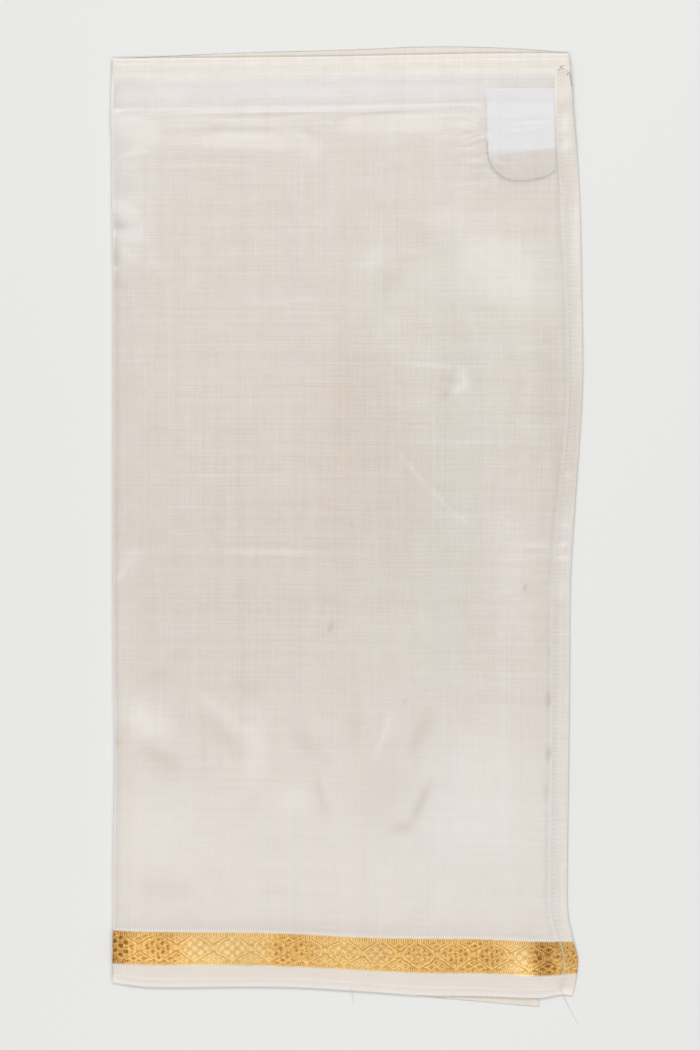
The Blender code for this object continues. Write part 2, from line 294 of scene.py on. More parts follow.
# %% The smooth form
EDGE_TOP = 3.3
STACK_TOP = 5.0
STEP_DOWN = 36.6
STEP_HALF = 2.6
SHOULDER_IN = 4.0
SHOULDER_OUT = 5.0
DRAPE_IN = 3.0
DRAPE_OUT = 11.0
LOWEST_TOP = 1.5
FOOT_FALL = 7.0
FOOT_SHARE = 0.9
TOP_FALL = 1.5
TOP_FALL_WIDTH = 4.5
FOOT_EDGE_FALL = 1.5
FOOT_EDGE_WIDTH = 6.0
EDGE_LOWEST = 1.2
DEEPEST_TROUGH = 0.8
FOLD_SAG = 1.2
FOLD_SAG_WIDTH = 14.0
LABEL_LEFT = 254.7
LABEL_RIGHT = 301.0
LABEL_TOP = 22.0
LABEL_SQUARE = 42.0
LABEL_ROUND = 21.5
LABEL_RISE = 1.2
LABEL_MARGIN = 9.0
LABEL_STEP_HALF = 14.0


def over_label(along):
    """1 over the label's width, 0 well away from it."""
    return band(LABEL_LEFT - LABEL_MARGIN, LABEL_LEFT, LABEL_RIGHT, LABEL_RIGHT + LABEL_MARGIN, along)


def label_lift(along, down):
    """The cloth rises over the label, and comes down again around its rounded end."""
    foot = LABEL_TOP + LABEL_SQUARE + LABEL_ROUND
    lengthwise = ease(LABEL_TOP - LABEL_MARGIN, LABEL_TOP + LABEL_MARGIN, down)
    return LABEL_RISE * over_label(along) * lengthwise * (1 - ease(foot - 2, foot + LABEL_MARGIN, down))


def smooth_surface(along, down):
    """Height of the upper stretch's outer face before it is creased, in millimetres above the surface."""
    top, foot, hem = top_edge(along), foot_edge(along), hem_line(down)
    half = mix(STEP_HALF, LABEL_STEP_HALF, over_label(along))
    on_stack = ease(top + STEP_DOWN - half, top + STEP_DOWN + half, down)
    on_stack = on_stack * (1 - ease(hem - SHOULDER_IN, hem + SHOULDER_OUT, along))
    on_stack = on_stack * (1 - FOOT_SHARE * ease(foot - FOOT_FALL, foot + 1, down))
    smooth = mix(EDGE_TOP, STACK_TOP, on_stack)
    smooth = smooth - FOLD_SAG * on_stack * (1 - ease(0, FOLD_SAG_WIDTH, along))
    smooth = smooth - TOP_FALL * (1 - ease(0, TOP_FALL_WIDTH, down - top))
    smooth = smooth - FOOT_EDGE_FALL * (1 - ease(0, FOOT_EDGE_WIDTH, foot - down))
    supported = np.maximum(under_right(down), hem - DRAPE_IN)
    return mix(smooth, LOWEST_TOP, ease(0, DRAPE_OUT, along - supported))


print("the cloth steps up from", EDGE_TOP, "to", STACK_TOP, "mm")

# %% Folds and creases
Fold = namedtuple("Fold", "along down length width turn height sharpness", defaults=(2.0,))


def folds(*rows):
    """A table of folds, each (along, down, half its length, half its width, turn, height, sharpness)."""
    return tuple(Fold(*row) for row in rows)


FOLDS = folds(
    # ripples below the step
    (82, 44.5, 78, 3.2, 1, 0.9), (100, 50.5, 48, 2.2, -1, -0.5), (92, 56.5, 62, 3.6, -2, 0.9),
    (205, 44.5, 60, 3.8, 1, 0.8),
    # puffs along the left fold
    (10, 47, 17, 6.5, 4, 1.4), (19, 63, 18, 2.6, 22, 0.8), (10, 104, 15, 5, -20, 1.2),
    (19, 120, 19, 7, -12, 1.5), (13, 137, 14, 5, -20, 1.0),
    # broad swells below the label
    (263, 140, 46, 17, -30, 2.0), (175, 142, 34, 9, 60, 1.0), (226, 107, 26, 12, -20, 0.8),
    # a dent and a diagonal crease in the middle
    (238, 219, 13, 4, 35, 1.2), (215, 209, 28, 3, -3, 0.6), (219, 295, 34, 2.2, -48, 0.7),
    # soft folds above the border
    (22, 449, 32, 9, -34, 1.8), (34, 477, 30, 6, -30, -0.5), (92, 455, 52, 10, -42, 1.4),
    (72, 462, 34, 6, -42, -0.5), (112, 500, 60, 17, -34, 1.4), (150, 500, 40, 8, -70, 1.2),
    (142, 503, 22, 3, -72, -0.6), (184, 462, 34, 5, 70, 1.5), (209, 457, 24, 4, 66, -0.8),
    (210, 507, 26, 4, 64, -0.8), (234, 495, 56, 15, 70, 1.7), (268, 500, 60, 14, 82, 1.1),
    # the border's left end lifts and its right end curls
    (40, 598, 48, 15, 4, 0.7), (284, 612, 28, 9, 90, 1.5), (300, 612, 24, 5, 90, -0.4),
    (310, 613, 22, 5, 90, 0.8),
)
CREASES = folds(
    # the edge of the layers below, and the furrow under it
    (95, 36.9, 95, 1.3, 0.6, 0.4), (225, 36.2, 60, 1.2, 0.5, 0.35), (105, 40.3, 66, 1.1, 1.3, -0.4),
    (184, 39.2, 34, 1.1, 3, -0.35),
    # fine lines below the ripples
    (60, 75, 62, 1.2, 0.5, 0.3), (253, 88, 11, 1.2, 7, 0.4), (203, 133, 14, 1.3, 0, 0.3),
    # small ripples between the others
    (60, 50, 30, 1.6, -2, 0.35), (150, 47, 26, 2.0, 3, 0.5), (134, 69, 14, 3.0, 2, 0.5),
    (196, 52, 30, 1.8, -3, 0.4),
    # puckers that run to the label
    (232, 44.5, 26, 1.5, -3, -0.4), (236, 41.5, 20, 1.6, 0, 0.35), (229, 52.5, 13, 1.6, 16, -0.45),
    (236, 48.5, 15, 1.8, 6, 0.4), (245, 53.5, 20, 1.6, 9, -0.5), (247, 57.0, 14, 1.8, 7, 0.4),
    (247, 62.0, 22, 1.5, 3, -0.35), (247, 68.0, 17, 1.5, 9, -0.35), (243, 71.0, 17, 1.8, 7, 0.4),
    (232, 74.5, 26, 1.5, 1, -0.3), (246, 80.5, 14, 1.6, 10, 0.4), (241, 88.5, 20, 1.7, 8, 0.5),
    (241, 91.5, 16, 1.3, 8, -0.4), (236, 101, 10, 1.4, -10, 0.4), (262.5, 74, 9, 1.5, -38, 0.8),
    (258, 79, 8, 1.4, -50, -0.6),
    # lines across the label
    (286, 44, 16, 1.4, 3, -0.4), (276, 52, 22, 1.3, 9, 0.35),
    # the hooked crease, and the fine ones round it
    (219, 226, 7, 1.8, -60, 0.7), (233, 230, 10, 1.9, 50, 0.8), (236, 213, 9, 2.0, -38, 0.8),
    (206, 210.5, 20, 1.2, 0, 0.4), (205, 282, 18, 1.2, -50, 0.5), (232, 309, 16, 1.2, -42, 0.5),
    # a small pleat at the left fold, and upright creases at the border
    (5, 350, 14, 4.0, 52, 0.9), (63, 572, 24, 1.3, 88, 0.35), (43, 610, 14, 1.0, 80, -0.35),
)


def rows_added(rows, along, down):
    """The rows of a table added up: each is round across, and dies out towards its two ends."""
    total = np.zeros(np.broadcast(along, down).shape)
    for row in rows:
        turn = math.radians(row.turn)
        right, up = along - row.along, row.down - down
        lengthwise = np.clip((right * math.cos(turn) + up * math.sin(turn)) / row.length, -1, 1)
        across = np.abs(up * math.cos(turn) - right * math.sin(turn)) / row.width
        total = total + row.height * (1 - lengthwise**2) ** 2 * np.exp(-(across**row.sharpness))
    return total


def upper_surface(along, down):
    """Height of the upper stretch's outer face with its folds and creases."""
    relief = np.maximum(rows_added(FOLDS + CREASES, along, down), -DEEPEST_TROUGH)
    relief = relief * ease(TOP_HEM, STEP_DOWN - STEP_HALF, down)
    return np.maximum(smooth_surface(along, down) + relief + label_lift(along, down), EDGE_LOWEST)


print("the swell below the label stands", round(float(upper_surface(263.0, 140.0)), 1), "mm high")

# %% [markdown]
# ## Making cloth
# Every stretch of cloth is a flat grid whose points are then moved to their places, and given a thin wall.
# A grid keeps its rows and columns, so it carries a map of the cloth in millimetres: how far each point lies
# from the first column and the first row, measured on the cloth. Weave follows that map round every fold.
# A sheet that lies uppermost has a section like a J on its side: a short tail below, a roll round the left
# fold, and the long run to the right.

# %% Cloth from a grid
# A finish holds the fine relief in millimetres, the tone from -1 to 1, which carries the painted light and
# shade as well as flecks and the label beneath, how strongly the weave shows, how warm the hue is, from -1 to
# 1, and, from 0 to 1, how far see-through cloth closes up and how green it is.
Finish = namedtuple("Finish", "raised tone crisp warm cover green", defaults=(1.0, 0.0, 0.0, 0.0))
SHOWN = ("tone", "crisp", "warm", "cover", "green")  # what the material reads
PLAIN = Finish(0.0, 0.0)


def cloth_grid(name, points, u, v, wall, material, finish=PLAIN):
    """A grid moved to points, an array of (rows, columns, 3) in millimetres, with the map (u, v) on it."""
    rows, columns = points.shape[0] - 1, points.shape[1] - 1
    shape = bmesh.new()
    bmesh.ops.create_grid(shape, x_segments=columns, y_segments=rows, size=0.5)
    for edge in shape.edges:
        edge.smooth = not edge.is_boundary  # the cut edge stays crisp, so the shading stays even up to it
    mesh = mesh_from(shape, name, material)
    flat = np.empty(len(mesh.vertices) * 3)
    mesh.vertices.foreach_get("co", flat)
    flat = flat.reshape(-1, 3)
    column = np.rint((flat[:, 0] + 0.5) * columns).astype(int)
    row = np.rint((0.5 - flat[:, 1]) * rows).astype(int)
    mesh.vertices.foreach_set("co", (points[row, column] * MM).ravel())
    corner = np.empty(len(mesh.loops), int)
    mesh.loops.foreach_get("vertex_index", corner)
    weave_map = mesh.uv_layers.new(name="weave")
    places = np.stack([u[row, column], v[row, column]], axis=1)[corner]
    weave_map.data.foreach_set("uv", (places * MM).ravel())
    for key in SHOWN:
        layer = mesh.attributes.new(key, "FLOAT", "POINT")
        layer.data.foreach_set("value", np.broadcast_to(getattr(finish, key), points.shape[:2])[row, column])
    mesh.shade_smooth()
    piece = in_scene(name, mesh)
    if wall:
        thicken = piece.modifiers.new("wall", "SOLIDIFY")
        thicken.thickness = wall * MM
        thicken.offset = -1
    print(name, "has", len(mesh.polygons), "faces a side")
    return piece


def placed(along, down, height):
    """Points in the row frame, still in millimetres."""
    return np.stack([along - MID_ALONG, MID_DOWN - down, height], axis=-1)


def measured_along(points):
    """How far each point of a row is from the row's first point, measured on the cloth."""
    steps = np.linalg.norm(np.diff(points, axis=1), axis=2)
    return np.concatenate([np.zeros((points.shape[0], 1)), np.cumsum(steps, axis=1)], axis=1)


print("the material reads", ", ".join(SHOWN))

# %% Stations down and across the upper stretch
TAIL_END = 8.0
ROLL_ANGLES = np.radians(np.linspace(0, 180, 13))
TURN_RADIUS = 0.45
TURN_ANGLES = np.radians([-45.0, 0.0, 45.0])
TURN_BACK = TURN_RADIUS * (1 - np.cos(TURN_ANGLES))
TURN_DROP = TURN_RADIUS * (1 - np.sin(TURN_ANGLES))
UNDERLAP = 1.5
TUCK = 0.16
TUCK_RAMP = (0.2, UNDERLAP + 0.8)


def stations(*runs):
    """Places from a few runs, each (start, end, count), so that each has its own spacing."""
    places = [runs[0][0]]
    for start, end, count in runs:
        places += [mix(start, end, (n + 1) / count) for n in range(count)]
    return np.array(places, float)


def even(count):
    """Even shares from 0 to 1."""
    return stations((0, 1, count))


def with_turned_edges(share, at_start, at_end):
    """Shares of the way, insets and drops in millimetres, with rows added where an edge is turned under."""
    inset = TURN_RADIUS * ((1 - share) * at_start - share * at_end)
    drop = np.zeros_like(share)
    if at_start:
        share = np.concatenate([np.zeros(len(TURN_BACK)), share])
        inset = np.concatenate([TURN_BACK, inset])
        drop = np.concatenate([TURN_DROP, drop])
    if at_end:
        share = np.concatenate([share, np.ones(len(TURN_BACK))])
        inset = np.concatenate([inset, -TURN_BACK[::-1]])
        drop = np.concatenate([drop, TURN_DROP[::-1]])
    return share, inset, drop


def tucked(from_edge):
    """How far a strip is tucked under its neighbour, from 1 at its edge to 0."""
    return 1 - ease(*TUCK_RAMP, from_edge)


def tucked_rows(runs):
    """Rows whose first and last ones pass under the neighbouring strips: shares, insets and drops."""
    places = stations(*runs)
    drop = TUCK * tucked(places - places[0]) + TUCK * tucked(places[-1] - places)
    return (places - places[0]) / (places[-1] - places[0]), np.zeros_like(places), drop


Columns = namedtuple("Columns", "part angle spot inset drop")
TAIL, ROLL, FLAT = 0, 1, 2
NEAR_FOLD_ALONG = 24.0
NEAR_LABEL_ALONG = 190.0
PUCKERS_START = 226.0
PUCKERS_END = 266.0
INNER_STOPS = (NEAR_FOLD_ALONG, NEAR_LABEL_ALONG, PUCKERS_START, PUCKERS_END)
SHOULDER_WIDTH = 10.0
ROUNDS = 4  # the lines' places depend a little on how far along a point is, so they settle in rounds


def upper_columns(counts, turned_right):
    """Columns of a rolled strip. counts holds how many lie between each two stops of its flat run."""
    spots = np.concatenate([[0.0]] + [k + even(n)[1:] for k, n in enumerate(counts)])
    share, inset, drop = with_turned_edges(spots / len(counts), False, turned_right)
    before = np.zeros(len(ROLL_ANGLES))
    part = np.concatenate([[TAIL], np.full(len(ROLL_ANGLES) - 1, ROLL), np.full(len(share), FLAT)])
    angle = np.concatenate([[0.0], ROLL_ANGLES[:-1], np.zeros(len(share))])
    spot = np.concatenate([before, share * len(counts)])
    return Columns(part, angle, spot, np.concatenate([before, inset]), np.concatenate([before, drop]))


def strip_places(top_of, foot_of, right_of, rows, columns):
    """Where each point of a rolled strip lies between the lines top_of and foot_of: along, down, height."""
    share, inset, row_drop = (part[:, None] for part in rows)
    drop = np.maximum(row_drop, columns.drop)
    along = np.zeros(drop.shape)
    for _ in range(ROUNDS):
        down = mix(top_of(along), foot_of(along), share) + inset
        left = left_fold(down) + drop
        radius = upper_surface(left + EDGE_TOP / 2, down) / 2 - drop
        rolled = left + radius * (1 - np.sin(columns.angle))
        right = right_of(down)
        middle = tuple(np.full_like(right, along) for along in INNER_STOPS)
        stops = np.stack([left + radius, *middle, right - SHOULDER_WIDTH, right], axis=-1)
        stop = np.minimum(columns.spot.astype(int), stops.shape[-1] - 2)[None, :, None]
        before, after = (np.take_along_axis(stops, stop + n, -1)[..., 0] for n in (0, 1))
        flat = mix(before, after, columns.spot - stop[..., 0]) + columns.inset
        along = np.where(columns.part == FLAT, flat, np.where(columns.part == ROLL, rolled, TAIL_END))
    rise = drop + radius * (1 - np.cos(columns.angle))
    height = np.where(columns.part == FLAT, upper_surface(along, down) - drop, rise)
    return along, down, height


def along_the_cloth(points, along, columns):
    """The same as along on the flat run, and counted on round the roll, so a figure runs round the fold."""
    first = int(np.argmax(columns.part == FLAT))
    measured = measured_along(points)
    round_the_roll = along[:, first:first + 1] + measured - measured[:, first:first + 1]
    return np.where(columns.part == FLAT, along, round_the_roll)


print("edges turn under in a curve of", TURN_RADIUS, "mm")

# %% [markdown]
# ## Raw silk
# Raw silk is woven from uneven thread: thick stretches, called slubs, run both ways and cross as a faint,
# irregular check. Noises drawn out on the cloth's map make it: fine, short and broad threads each way, and
# the slubs. They shade the colour and lift the surface a little. The sheen comes from the smooth fibre, so
# the roughness is low for a cloth. The outermost stretch lets some light through, so what lies beneath it
# shows faintly: the label, and the edge of the folded layers. It closes up beside its seams and along the
# step, where it is pulled tight, and round the left fold, where its threads are seen edge on.

# %% Material helpers
Threads = namedtuple("Threads", "name per_metre_u per_metre_v strength height")
WEAVE = (
    Threads("fine_upright", 900, 6, 0.20, 0.5),
    Threads("short_upright", 760, 70, 0.16, 0.3),
    Threads("fine_level", 5, 950, 0.26, 0.6),
    Threads("short_level", 50, 820, 0.19, 0.3),
    Threads("broad_upright", 130, 2.5, 0.12, 0.0),
    Threads("broad_level", 2.5, 150, 0.11, 0.0),
    Threads("mottle", 60, 60, 0.13, 0.0),
)
HUE_THREADS = (Threads("hue_upright", 90, 1.5, 0.9, 0.0), Threads("hue_level", 1.5, 70, 0.5, 0.0))
SLUBS = (
    Threads("upright_slubs", 640, 18, 0.24, 0.8),
    Threads("level_slubs", 12, 700, 0.42, 1.0),
)
SLUB_FROM = 0.64
SLUB_TO = 0.78
SLUB_LIFT = 0.00012
SLUB_BUMP = 0.7
NOISE_GAIN = 4  # the noise keeps close to 0.5, so it is drawn out
COOL_TINT = (0.975, 0.99, 1.0)
WARM_TINT = (1.0, 0.98, 0.945)
NO_TINT = (1.0, 1.0, 1.0)
GREEN_TINT = (0.984, 1.0, 0.993)


def add(tree, kind, inputs=(), **settings):
    """A node with its settings, whose inputs are values or other nodes' sockets."""
    made = tree.nodes.new(kind)
    for key, value in settings.items():
        setattr(made, key, value)
    for key, value in dict(inputs).items():
        if isinstance(value, bpy.types.NodeSocket):
            tree.links.new(value, made.inputs[key])
        else:
            made.inputs[key].default_value = value
    return made


def maths(tree, operation, a, b=0.0, c=0.0):
    return add(tree, "ShaderNodeMath", {0: a, 1: b, 2: c}, operation=operation).outputs[0]


def thread_noise(tree, weave_map, threads):
    """Noise drawn out along the threads: 0 to 1, with 0.5 in the middle."""
    scale = (threads.per_metre_u, threads.per_metre_v, 1)
    stretched = add(tree, "ShaderNodeMapping", {"Vector": weave_map, "Scale": scale})
    inputs = {"Vector": stretched.outputs[0], "Scale": 1.0, "Detail": 2.0, "Roughness": 0.6}
    return add(tree, "ShaderNodeTexNoise", inputs, noise_dimensions="2D").outputs[0]


def attribute(tree, name):
    return add(tree, "ShaderNodeAttribute", attribute_name=name).outputs["Fac"]


def blended(tree, factor, a, b, blend_type="MIX"):
    """Two colours mixed by a factor. A colour is three numbers or another node's socket."""
    inputs = {0: factor}
    for index, colour in ((6, a), (7, b)):
        inputs[index] = colour if isinstance(colour, bpy.types.NodeSocket) else (*colour, 1)
    made = add(tree, "ShaderNodeMix", inputs, data_type="RGBA", blend_type=blend_type)
    return made.outputs[2]


def silk_material(silk):
    """Woven silk from its light and dark thread colours, with light and shade painted in patches by the
    finish's attributes.
    """
    made, tree, shader = new_material(silk.name)
    weave_map = add(tree, "ShaderNodeUVMap", uv_map="weave").outputs[0]
    weave, lift = 0.0, 0.0
    for threads in WEAVE + SLUBS:
        noise = thread_noise(tree, weave_map, threads)
        if threads in SLUBS:
            limits = {"Value": noise, "From Min": SLUB_FROM, "From Max": SLUB_TO}
            noise = add(tree, "ShaderNodeMapRange", limits).outputs[0]
            weave = maths(tree, "MULTIPLY_ADD", noise, threads.strength * silk.contrast, weave)
        else:
            centred = maths(tree, "SUBTRACT", noise, 0.5)
            strength = threads.strength * silk.contrast * NOISE_GAIN
            weave = maths(tree, "MULTIPLY_ADD", centred, strength, weave)
        lift = maths(tree, "MULTIPLY_ADD", noise, threads.height, lift)
    tone, crisp, warm = (attribute(tree, key) for key in ("tone", "crisp", "warm"))
    # the tone attribute moves the colour between dark and light: painted light and shade, added to the weave
    factor = maths(tree, "MULTIPLY_ADD", weave, crisp, maths(tree, "MULTIPLY_ADD", tone, 0.5, 0.5))
    factor = add(tree, "ShaderNodeClamp", {0: factor}).outputs[0]
    colour = blended(tree, factor, silk.dark, silk.light)
    warmth = maths(tree, "MULTIPLY_ADD", warm, 0.5, 0.5)
    for threads in HUE_THREADS:
        centred = maths(tree, "SUBTRACT", thread_noise(tree, weave_map, threads), 0.5)
        warmth = maths(tree, "MULTIPLY_ADD", centred, threads.strength, warmth)
    tint = blended(tree, warmth, COOL_TINT, WARM_TINT)
    colour = blended(tree, 1.0, colour, tint, "MULTIPLY")
    green_tint = blended(tree, attribute(tree, "green"), NO_TINT, GREEN_TINT)
    colour = blended(tree, 1.0, colour, green_tint, "MULTIPLY")
    tree.links.new(colour, shader.inputs["Base Color"])
    bump = add(tree, "ShaderNodeBump", {"Height": lift, "Distance": SLUB_LIFT, "Strength": SLUB_BUMP})
    tree.links.new(bump.outputs[0], shader.inputs["Normal"])
    shader.inputs["Roughness"].default_value = silk.roughness
    shader.inputs["Sheen Weight"].default_value = silk.sheen
    shader.inputs["Alpha"].default_value = silk.alpha
    if silk.alpha < 1:
        opaque = maths(tree, "MULTIPLY_ADD", attribute(tree, "cover"), 1 - silk.alpha, silk.alpha)
        tree.links.new(opaque, shader.inputs["Alpha"])
    return made


print(len(WEAVE), "kinds of thread and", len(SLUBS), "of slub")

# %% The silks
SILKS = table(
    "name light dark roughness sheen alpha contrast",
    ("outer_silk", (1.0, 0.975, 0.965), (0.765, 0.70, 0.635), 0.30, 0.2, 0.4, 0.42),
    ("hem_silk", (0.95, 0.90, 0.86), (0.66, 0.60, 0.535), 0.36, 0.2, 1.0, 0.35),
    ("layer_silk", (0.95, 0.89, 0.83), (0.87, 0.78, 0.69), 0.45, 0.2, 1.0, 0.3),
    ("under_silk", (1.0, 0.95, 0.96), (0.93, 0.86, 0.855), 0.45, 0.2, 1.0, 0.3),
)
outer_silk, hem_silk, layer_silk, under_silk = (silk_material(silk) for silk in SILKS)
print(len(SILKS), "silks")

# %% [markdown]
# ## The ground cloth
# This is the plain stretch that fills most of the rectangle. It is one thin sheet from the hem to the gold,
# with rows and columns closer together where it folds most. Its form is only millimetres deep, so tables of
# painted light and shade set beside the folds tell how light and dark the cloth turns over them, and another
# table how warm and cool it turns.

# %% Shades of the ground
# The ground's tone by place down is painted light and shade: paler above the step and towards the gold,
# darker in the middle; crisp is how strongly the weave shows
TONE_ROWS = table(
    "down tone crisp",
    (0, 0.60, 1.1), (34, 0.60, 1.1), (46, 0.25, 0.9), (80, 0.08, 1.0), (200, 0.0, 1.1),
    (340, -0.18, 1.05), (410, -0.10, 0.95), (470, 0.22, 0.75), (540, 0.50, 0.6), (600, 0.42, 0.6),
)
# Painted light and shade where the folds, puckers and puffs catch the light or fall into shade, with a few
# long threads of the weave
PAINTED_SHADES_AND_THREADS = folds(
    # pale streaks in the band above the step
    (150, 20.5, 190, 4.5, 0.6, 0.35), (44, 19.5, 34, 4, 0.6, 0.5), (37, 25, 16, 3, -38, 0.35),
    (97, 19, 45, 2.5, -3, 0.35), (135, 25, 38, 3, -6, 0.35),
    # the step's bright line and its shadow
    (120, 36.6, 170, 1.6, 0.7, 0.4), (105, 40.4, 68, 1.2, 1.2, -0.9), (184, 39.2, 36, 1.2, 3, -0.9),
    # pale ripples below the step, and the dark between them
    (96, 45, 60, 2.5, 0, 0.7), (44, 47.5, 30, 3.5, 0, 0.45), (84, 50.5, 44, 1.5, -1, -0.5),
    (135, 52, 12, 1.6, -20, -0.55), (84, 57, 76, 4.0, 0, 1.0), (96, 61.5, 56, 2.5, -1, 0.6),
    (110, 48.0, 22, 1.1, -8, 0.4), (62, 54.0, 18, 1.0, 6, -0.4), (118, 55.0, 16, 1.0, -12, -0.4),
    (96, 59.5, 14, 0.9, 4, -0.35), (137, 66, 12, 6, 70, 0.4), (60, 75, 64, 0.9, 0.5, 0.4),
    (203, 47, 58, 6.0, 2, 0.85), (163, 47, 12, 4, 20, 0.5),
    # the fan of puckers beside the label
    (246, 43.5, 9, 0.8, -8, 0.9), (244, 46.5, 11, 0.8, -22, 0.8), (243, 49.5, 12, 0.8, -12, 0.8),
    (246, 53.0, 10, 0.9, 12, 0.8), (245, 57.5, 11, 0.9, 18, 0.8), (244, 62.5, 12, 0.8, 10, 0.6),
    (246, 71.5, 10, 0.9, 8, 0.8), (243, 51.5, 11, 0.8, 2, -0.7), (245, 55.0, 10, 0.8, 14, -0.7),
    (245, 60.0, 10, 0.8, 14, -0.6), (246, 68.5, 10, 0.9, 6, -0.7), (250, 75.0, 7, 0.8, 4, -0.7),
    # pale where the puffs along the left fold catch the light, and dark behind them
    (15, 49, 26, 7, -14, 1.2), (14, 66.6, 14, 1.3, 13, 1.0), (20, 64, 20, 3, 18, 0.4),
    (8, 88, 11, 7, -40, -0.25), (7, 104, 16, 4, -24, 1.0, 3), (14, 122.5, 18, 5, -6, 0.8, 3),
    (11.5, 135.5, 10, 4, -50, 0.6), (5, 115.2, 7.5, 3, -15, -1.1), (2.5, 137.5, 9, 2.5, 90, -0.6),
    (1.5, 121, 4, 1.6, 0, 1.2), (2.5, 144.5, 4.5, 1.5, -20, 1.0), (5, 155, 10, 4, -30, -0.4),
    (30, 142, 15, 3, -37, 0.3), (10, 95, 70, 20, 90, 0.4),
    # the broad pale swell below the label, and the small ones left of it
    (262, 144, 58, 22, -28, 0.75), (280, 154, 20, 9, -30, 0.25), (225, 108, 22, 8, 10, 0.35),
    (253, 88, 11, 1.0, 7, 0.5), (203, 133, 15, 1.2, 0, 0.4), (175, 141, 22, 7, 52, 0.45),
    (188, 154, 20, 7, 50, -0.35), (215, 124, 46, 8, -30, -0.2),
    # a darker middle, where the most layers lie together
    # painted shade, darker through the middle
    (190, 290, 110, 42, 86, -0.35), (95, 300, 120, 46, 88, -0.12), (165, 225, 70, 28, 88, -0.3),
    (230, 200, 45, 14, 88, -0.2), (297, 220, 60, 7, 88, -0.55),
    # paler patches on both sides of it, and the small pleat at the left fold
    (272, 350, 90, 16, 88, 0.45), (6, 390, 70, 9, 90, 0.35), (11, 344, 16, 5, 42, 0.5),
    (5, 354, 7, 1.7, 35, 0.9),
    # the hooked crease and the diagonal one
    (214, 210, 30, 1.3, -4, 0.8), (239, 218, 9, 3.0, -50, 0.9), (236, 226, 11, 3.5, 32, 1.0),
    (227, 230, 8, 2.4, 35, -0.6), (229, 219, 10, 3.0, -20, -0.4), (205, 282, 20, 1.2, -50, 0.8),
    (222, 300, 18, 1.1, -46, 0.8), (236, 313, 15, 1.1, -38, 0.7),
    # long pale threads
    (97, 337.8, 48, 1.3, 0.6, 0.42), (20, 336.6, 26, 0.8, 0, 0.45), (125, 337.3, 60, 0.7, 0.3, 0.25),
    # short gathers beside the side hem
    (288, 332, 14, 1.0, 0, 0.7), (278, 341, 24, 1.5, 0, 0.8), (287, 336.5, 14, 1.2, 0, -0.5),
    (288, 344.5, 13, 1.0, 0, -0.5), (287, 371, 14, 1.4, 0, 0.6), (286, 364, 13, 4, 0, -0.3),
    # single threads, and the dark side of the hem's long bend
    (240, 313, 36, 0.8, 0, 0.45), (302, 268, 48, 5, 88, -0.45), (230, 262, 60, 0.7, 0, 0.4),
    (70, 285, 60, 0.7, 0, 0.3), (60, 353, 60, 0.7, 0, -0.5), (120, 445, 90, 0.7, 0, 0.3),
    (152, 330, 90, 0.8, 90, -0.5), (64, 568, 24, 0.8, 89, -0.6),
    # soft folds above the border
    (36, 566, 30, 7, 0, -0.4), (21, 449, 34, 12, -28, 0.85), (33, 421, 17, 4, 0, -0.4),
    (93, 427, 18, 8, -20, -0.35), (33, 476, 27, 6, -30, -0.7), (2, 465, 7, 2.5, -40, -0.8),
    (11, 452, 28, 1.5, 88, -0.25), (48, 450, 26, 1.6, 88, -0.3), (63, 470, 32, 1.6, 88, -0.3),
    (75, 461, 30, 6, -42, -0.55), (75, 446, 36, 5, -40, 0.45), (97, 470, 36, 9, 85, 0.5),
    (133, 467, 22, 6, -45, -0.5), (142, 503, 22, 2.5, -72, -0.6), (122, 505, 18, 9, 80, 0.4),
    (30, 525, 42, 30, 90, 0.3), (165, 455, 27, 5, 88, -0.4), (185, 500, 50, 14, 80, -0.35),
    (184, 463, 26, 1.5, 70, 0.55), (190, 453, 18, 6, 75, 0.3), (210, 459, 26, 4.5, 68, -0.7),
    (210, 507, 22, 3.2, 66, -1.0), (197, 524, 12, 3.5, 8, -0.8), (252, 505, 62, 34, 90, 0.4),
    (265, 445, 50, 14, 88, 0.15), (245, 470, 26, 14, 20, 0.15),
    # dark gathers along the lower side hem
    (296.5, 437, 9, 2, 88, -1.2), (296.5, 474, 7, 2, 88, -1.3), (294.5, 500, 9, 1.8, 86, -0.8),
    (295, 550, 50, 1.6, 90, -0.25),
    # darker close to the gold
    (110, 567, 14, 3, 0, -0.3), (150, 592, 170, 5, -1, -0.4),
)
WARMTHS = folds(
    # stripes of thread from a warmer hank
    (58, 175, 140, 20, 90, 0.5), (152, 290, 190, 8, 90, 0.75), (62, 300, 120, 5, 90, 0.35),
    # cooler on the right, and warm in the upper left corner
    (250, 380, 280, 55, 90, -0.4), (3, 24, 16, 5, 90, 0.8),
    # cooler where the light skims the puffs, the upper band, the foot and the label
    (12, 95, 70, 18, 90, -0.8), (150, 24, 170, 12, 0, -0.3), (235, 520, 90, 70, 90, -0.6),
    (278, 52, 36, 24, 90, -0.6),
)
FLECKS = folds(
    # bits of husk in the thread
    (148.6, 388, 4.0, 1.5, 84, -2.4), (199, 439, 2.6, 1.5, 20, -1.1), (147, 371, 4.0, 1.0, 85, -0.6),
    (281, 361, 4.0, 0.75, 90, -2.2),
)
tone_down, crisp_down = (column_curve(TONE_ROWS, "down", name) for name in ("tone", "crisp"))
print(len(PAINTED_SHADES_AND_THREADS), "shades,", len(WARMTHS), "warm or cool stripes and", len(FLECKS), "flecks")

# %% Finish of the ground
FOLD_COVER = 0.95
STEP_COVER = 0.7
HEM_COVER = 0.85
GOLD_COVER = 0.6
STEP_CLOSES_ABOVE = 0.7
STEP_CLOSED_HALF = 2.0
SEAM = 0.5
UPPER_REACH = 9.0
NARROW_REACH = 1.5
WIDE_REACH = 3.5
WIDENS_DOWN = (86.0, 100.0)
GOLD_CLOSED = (-3.0, -0.5)
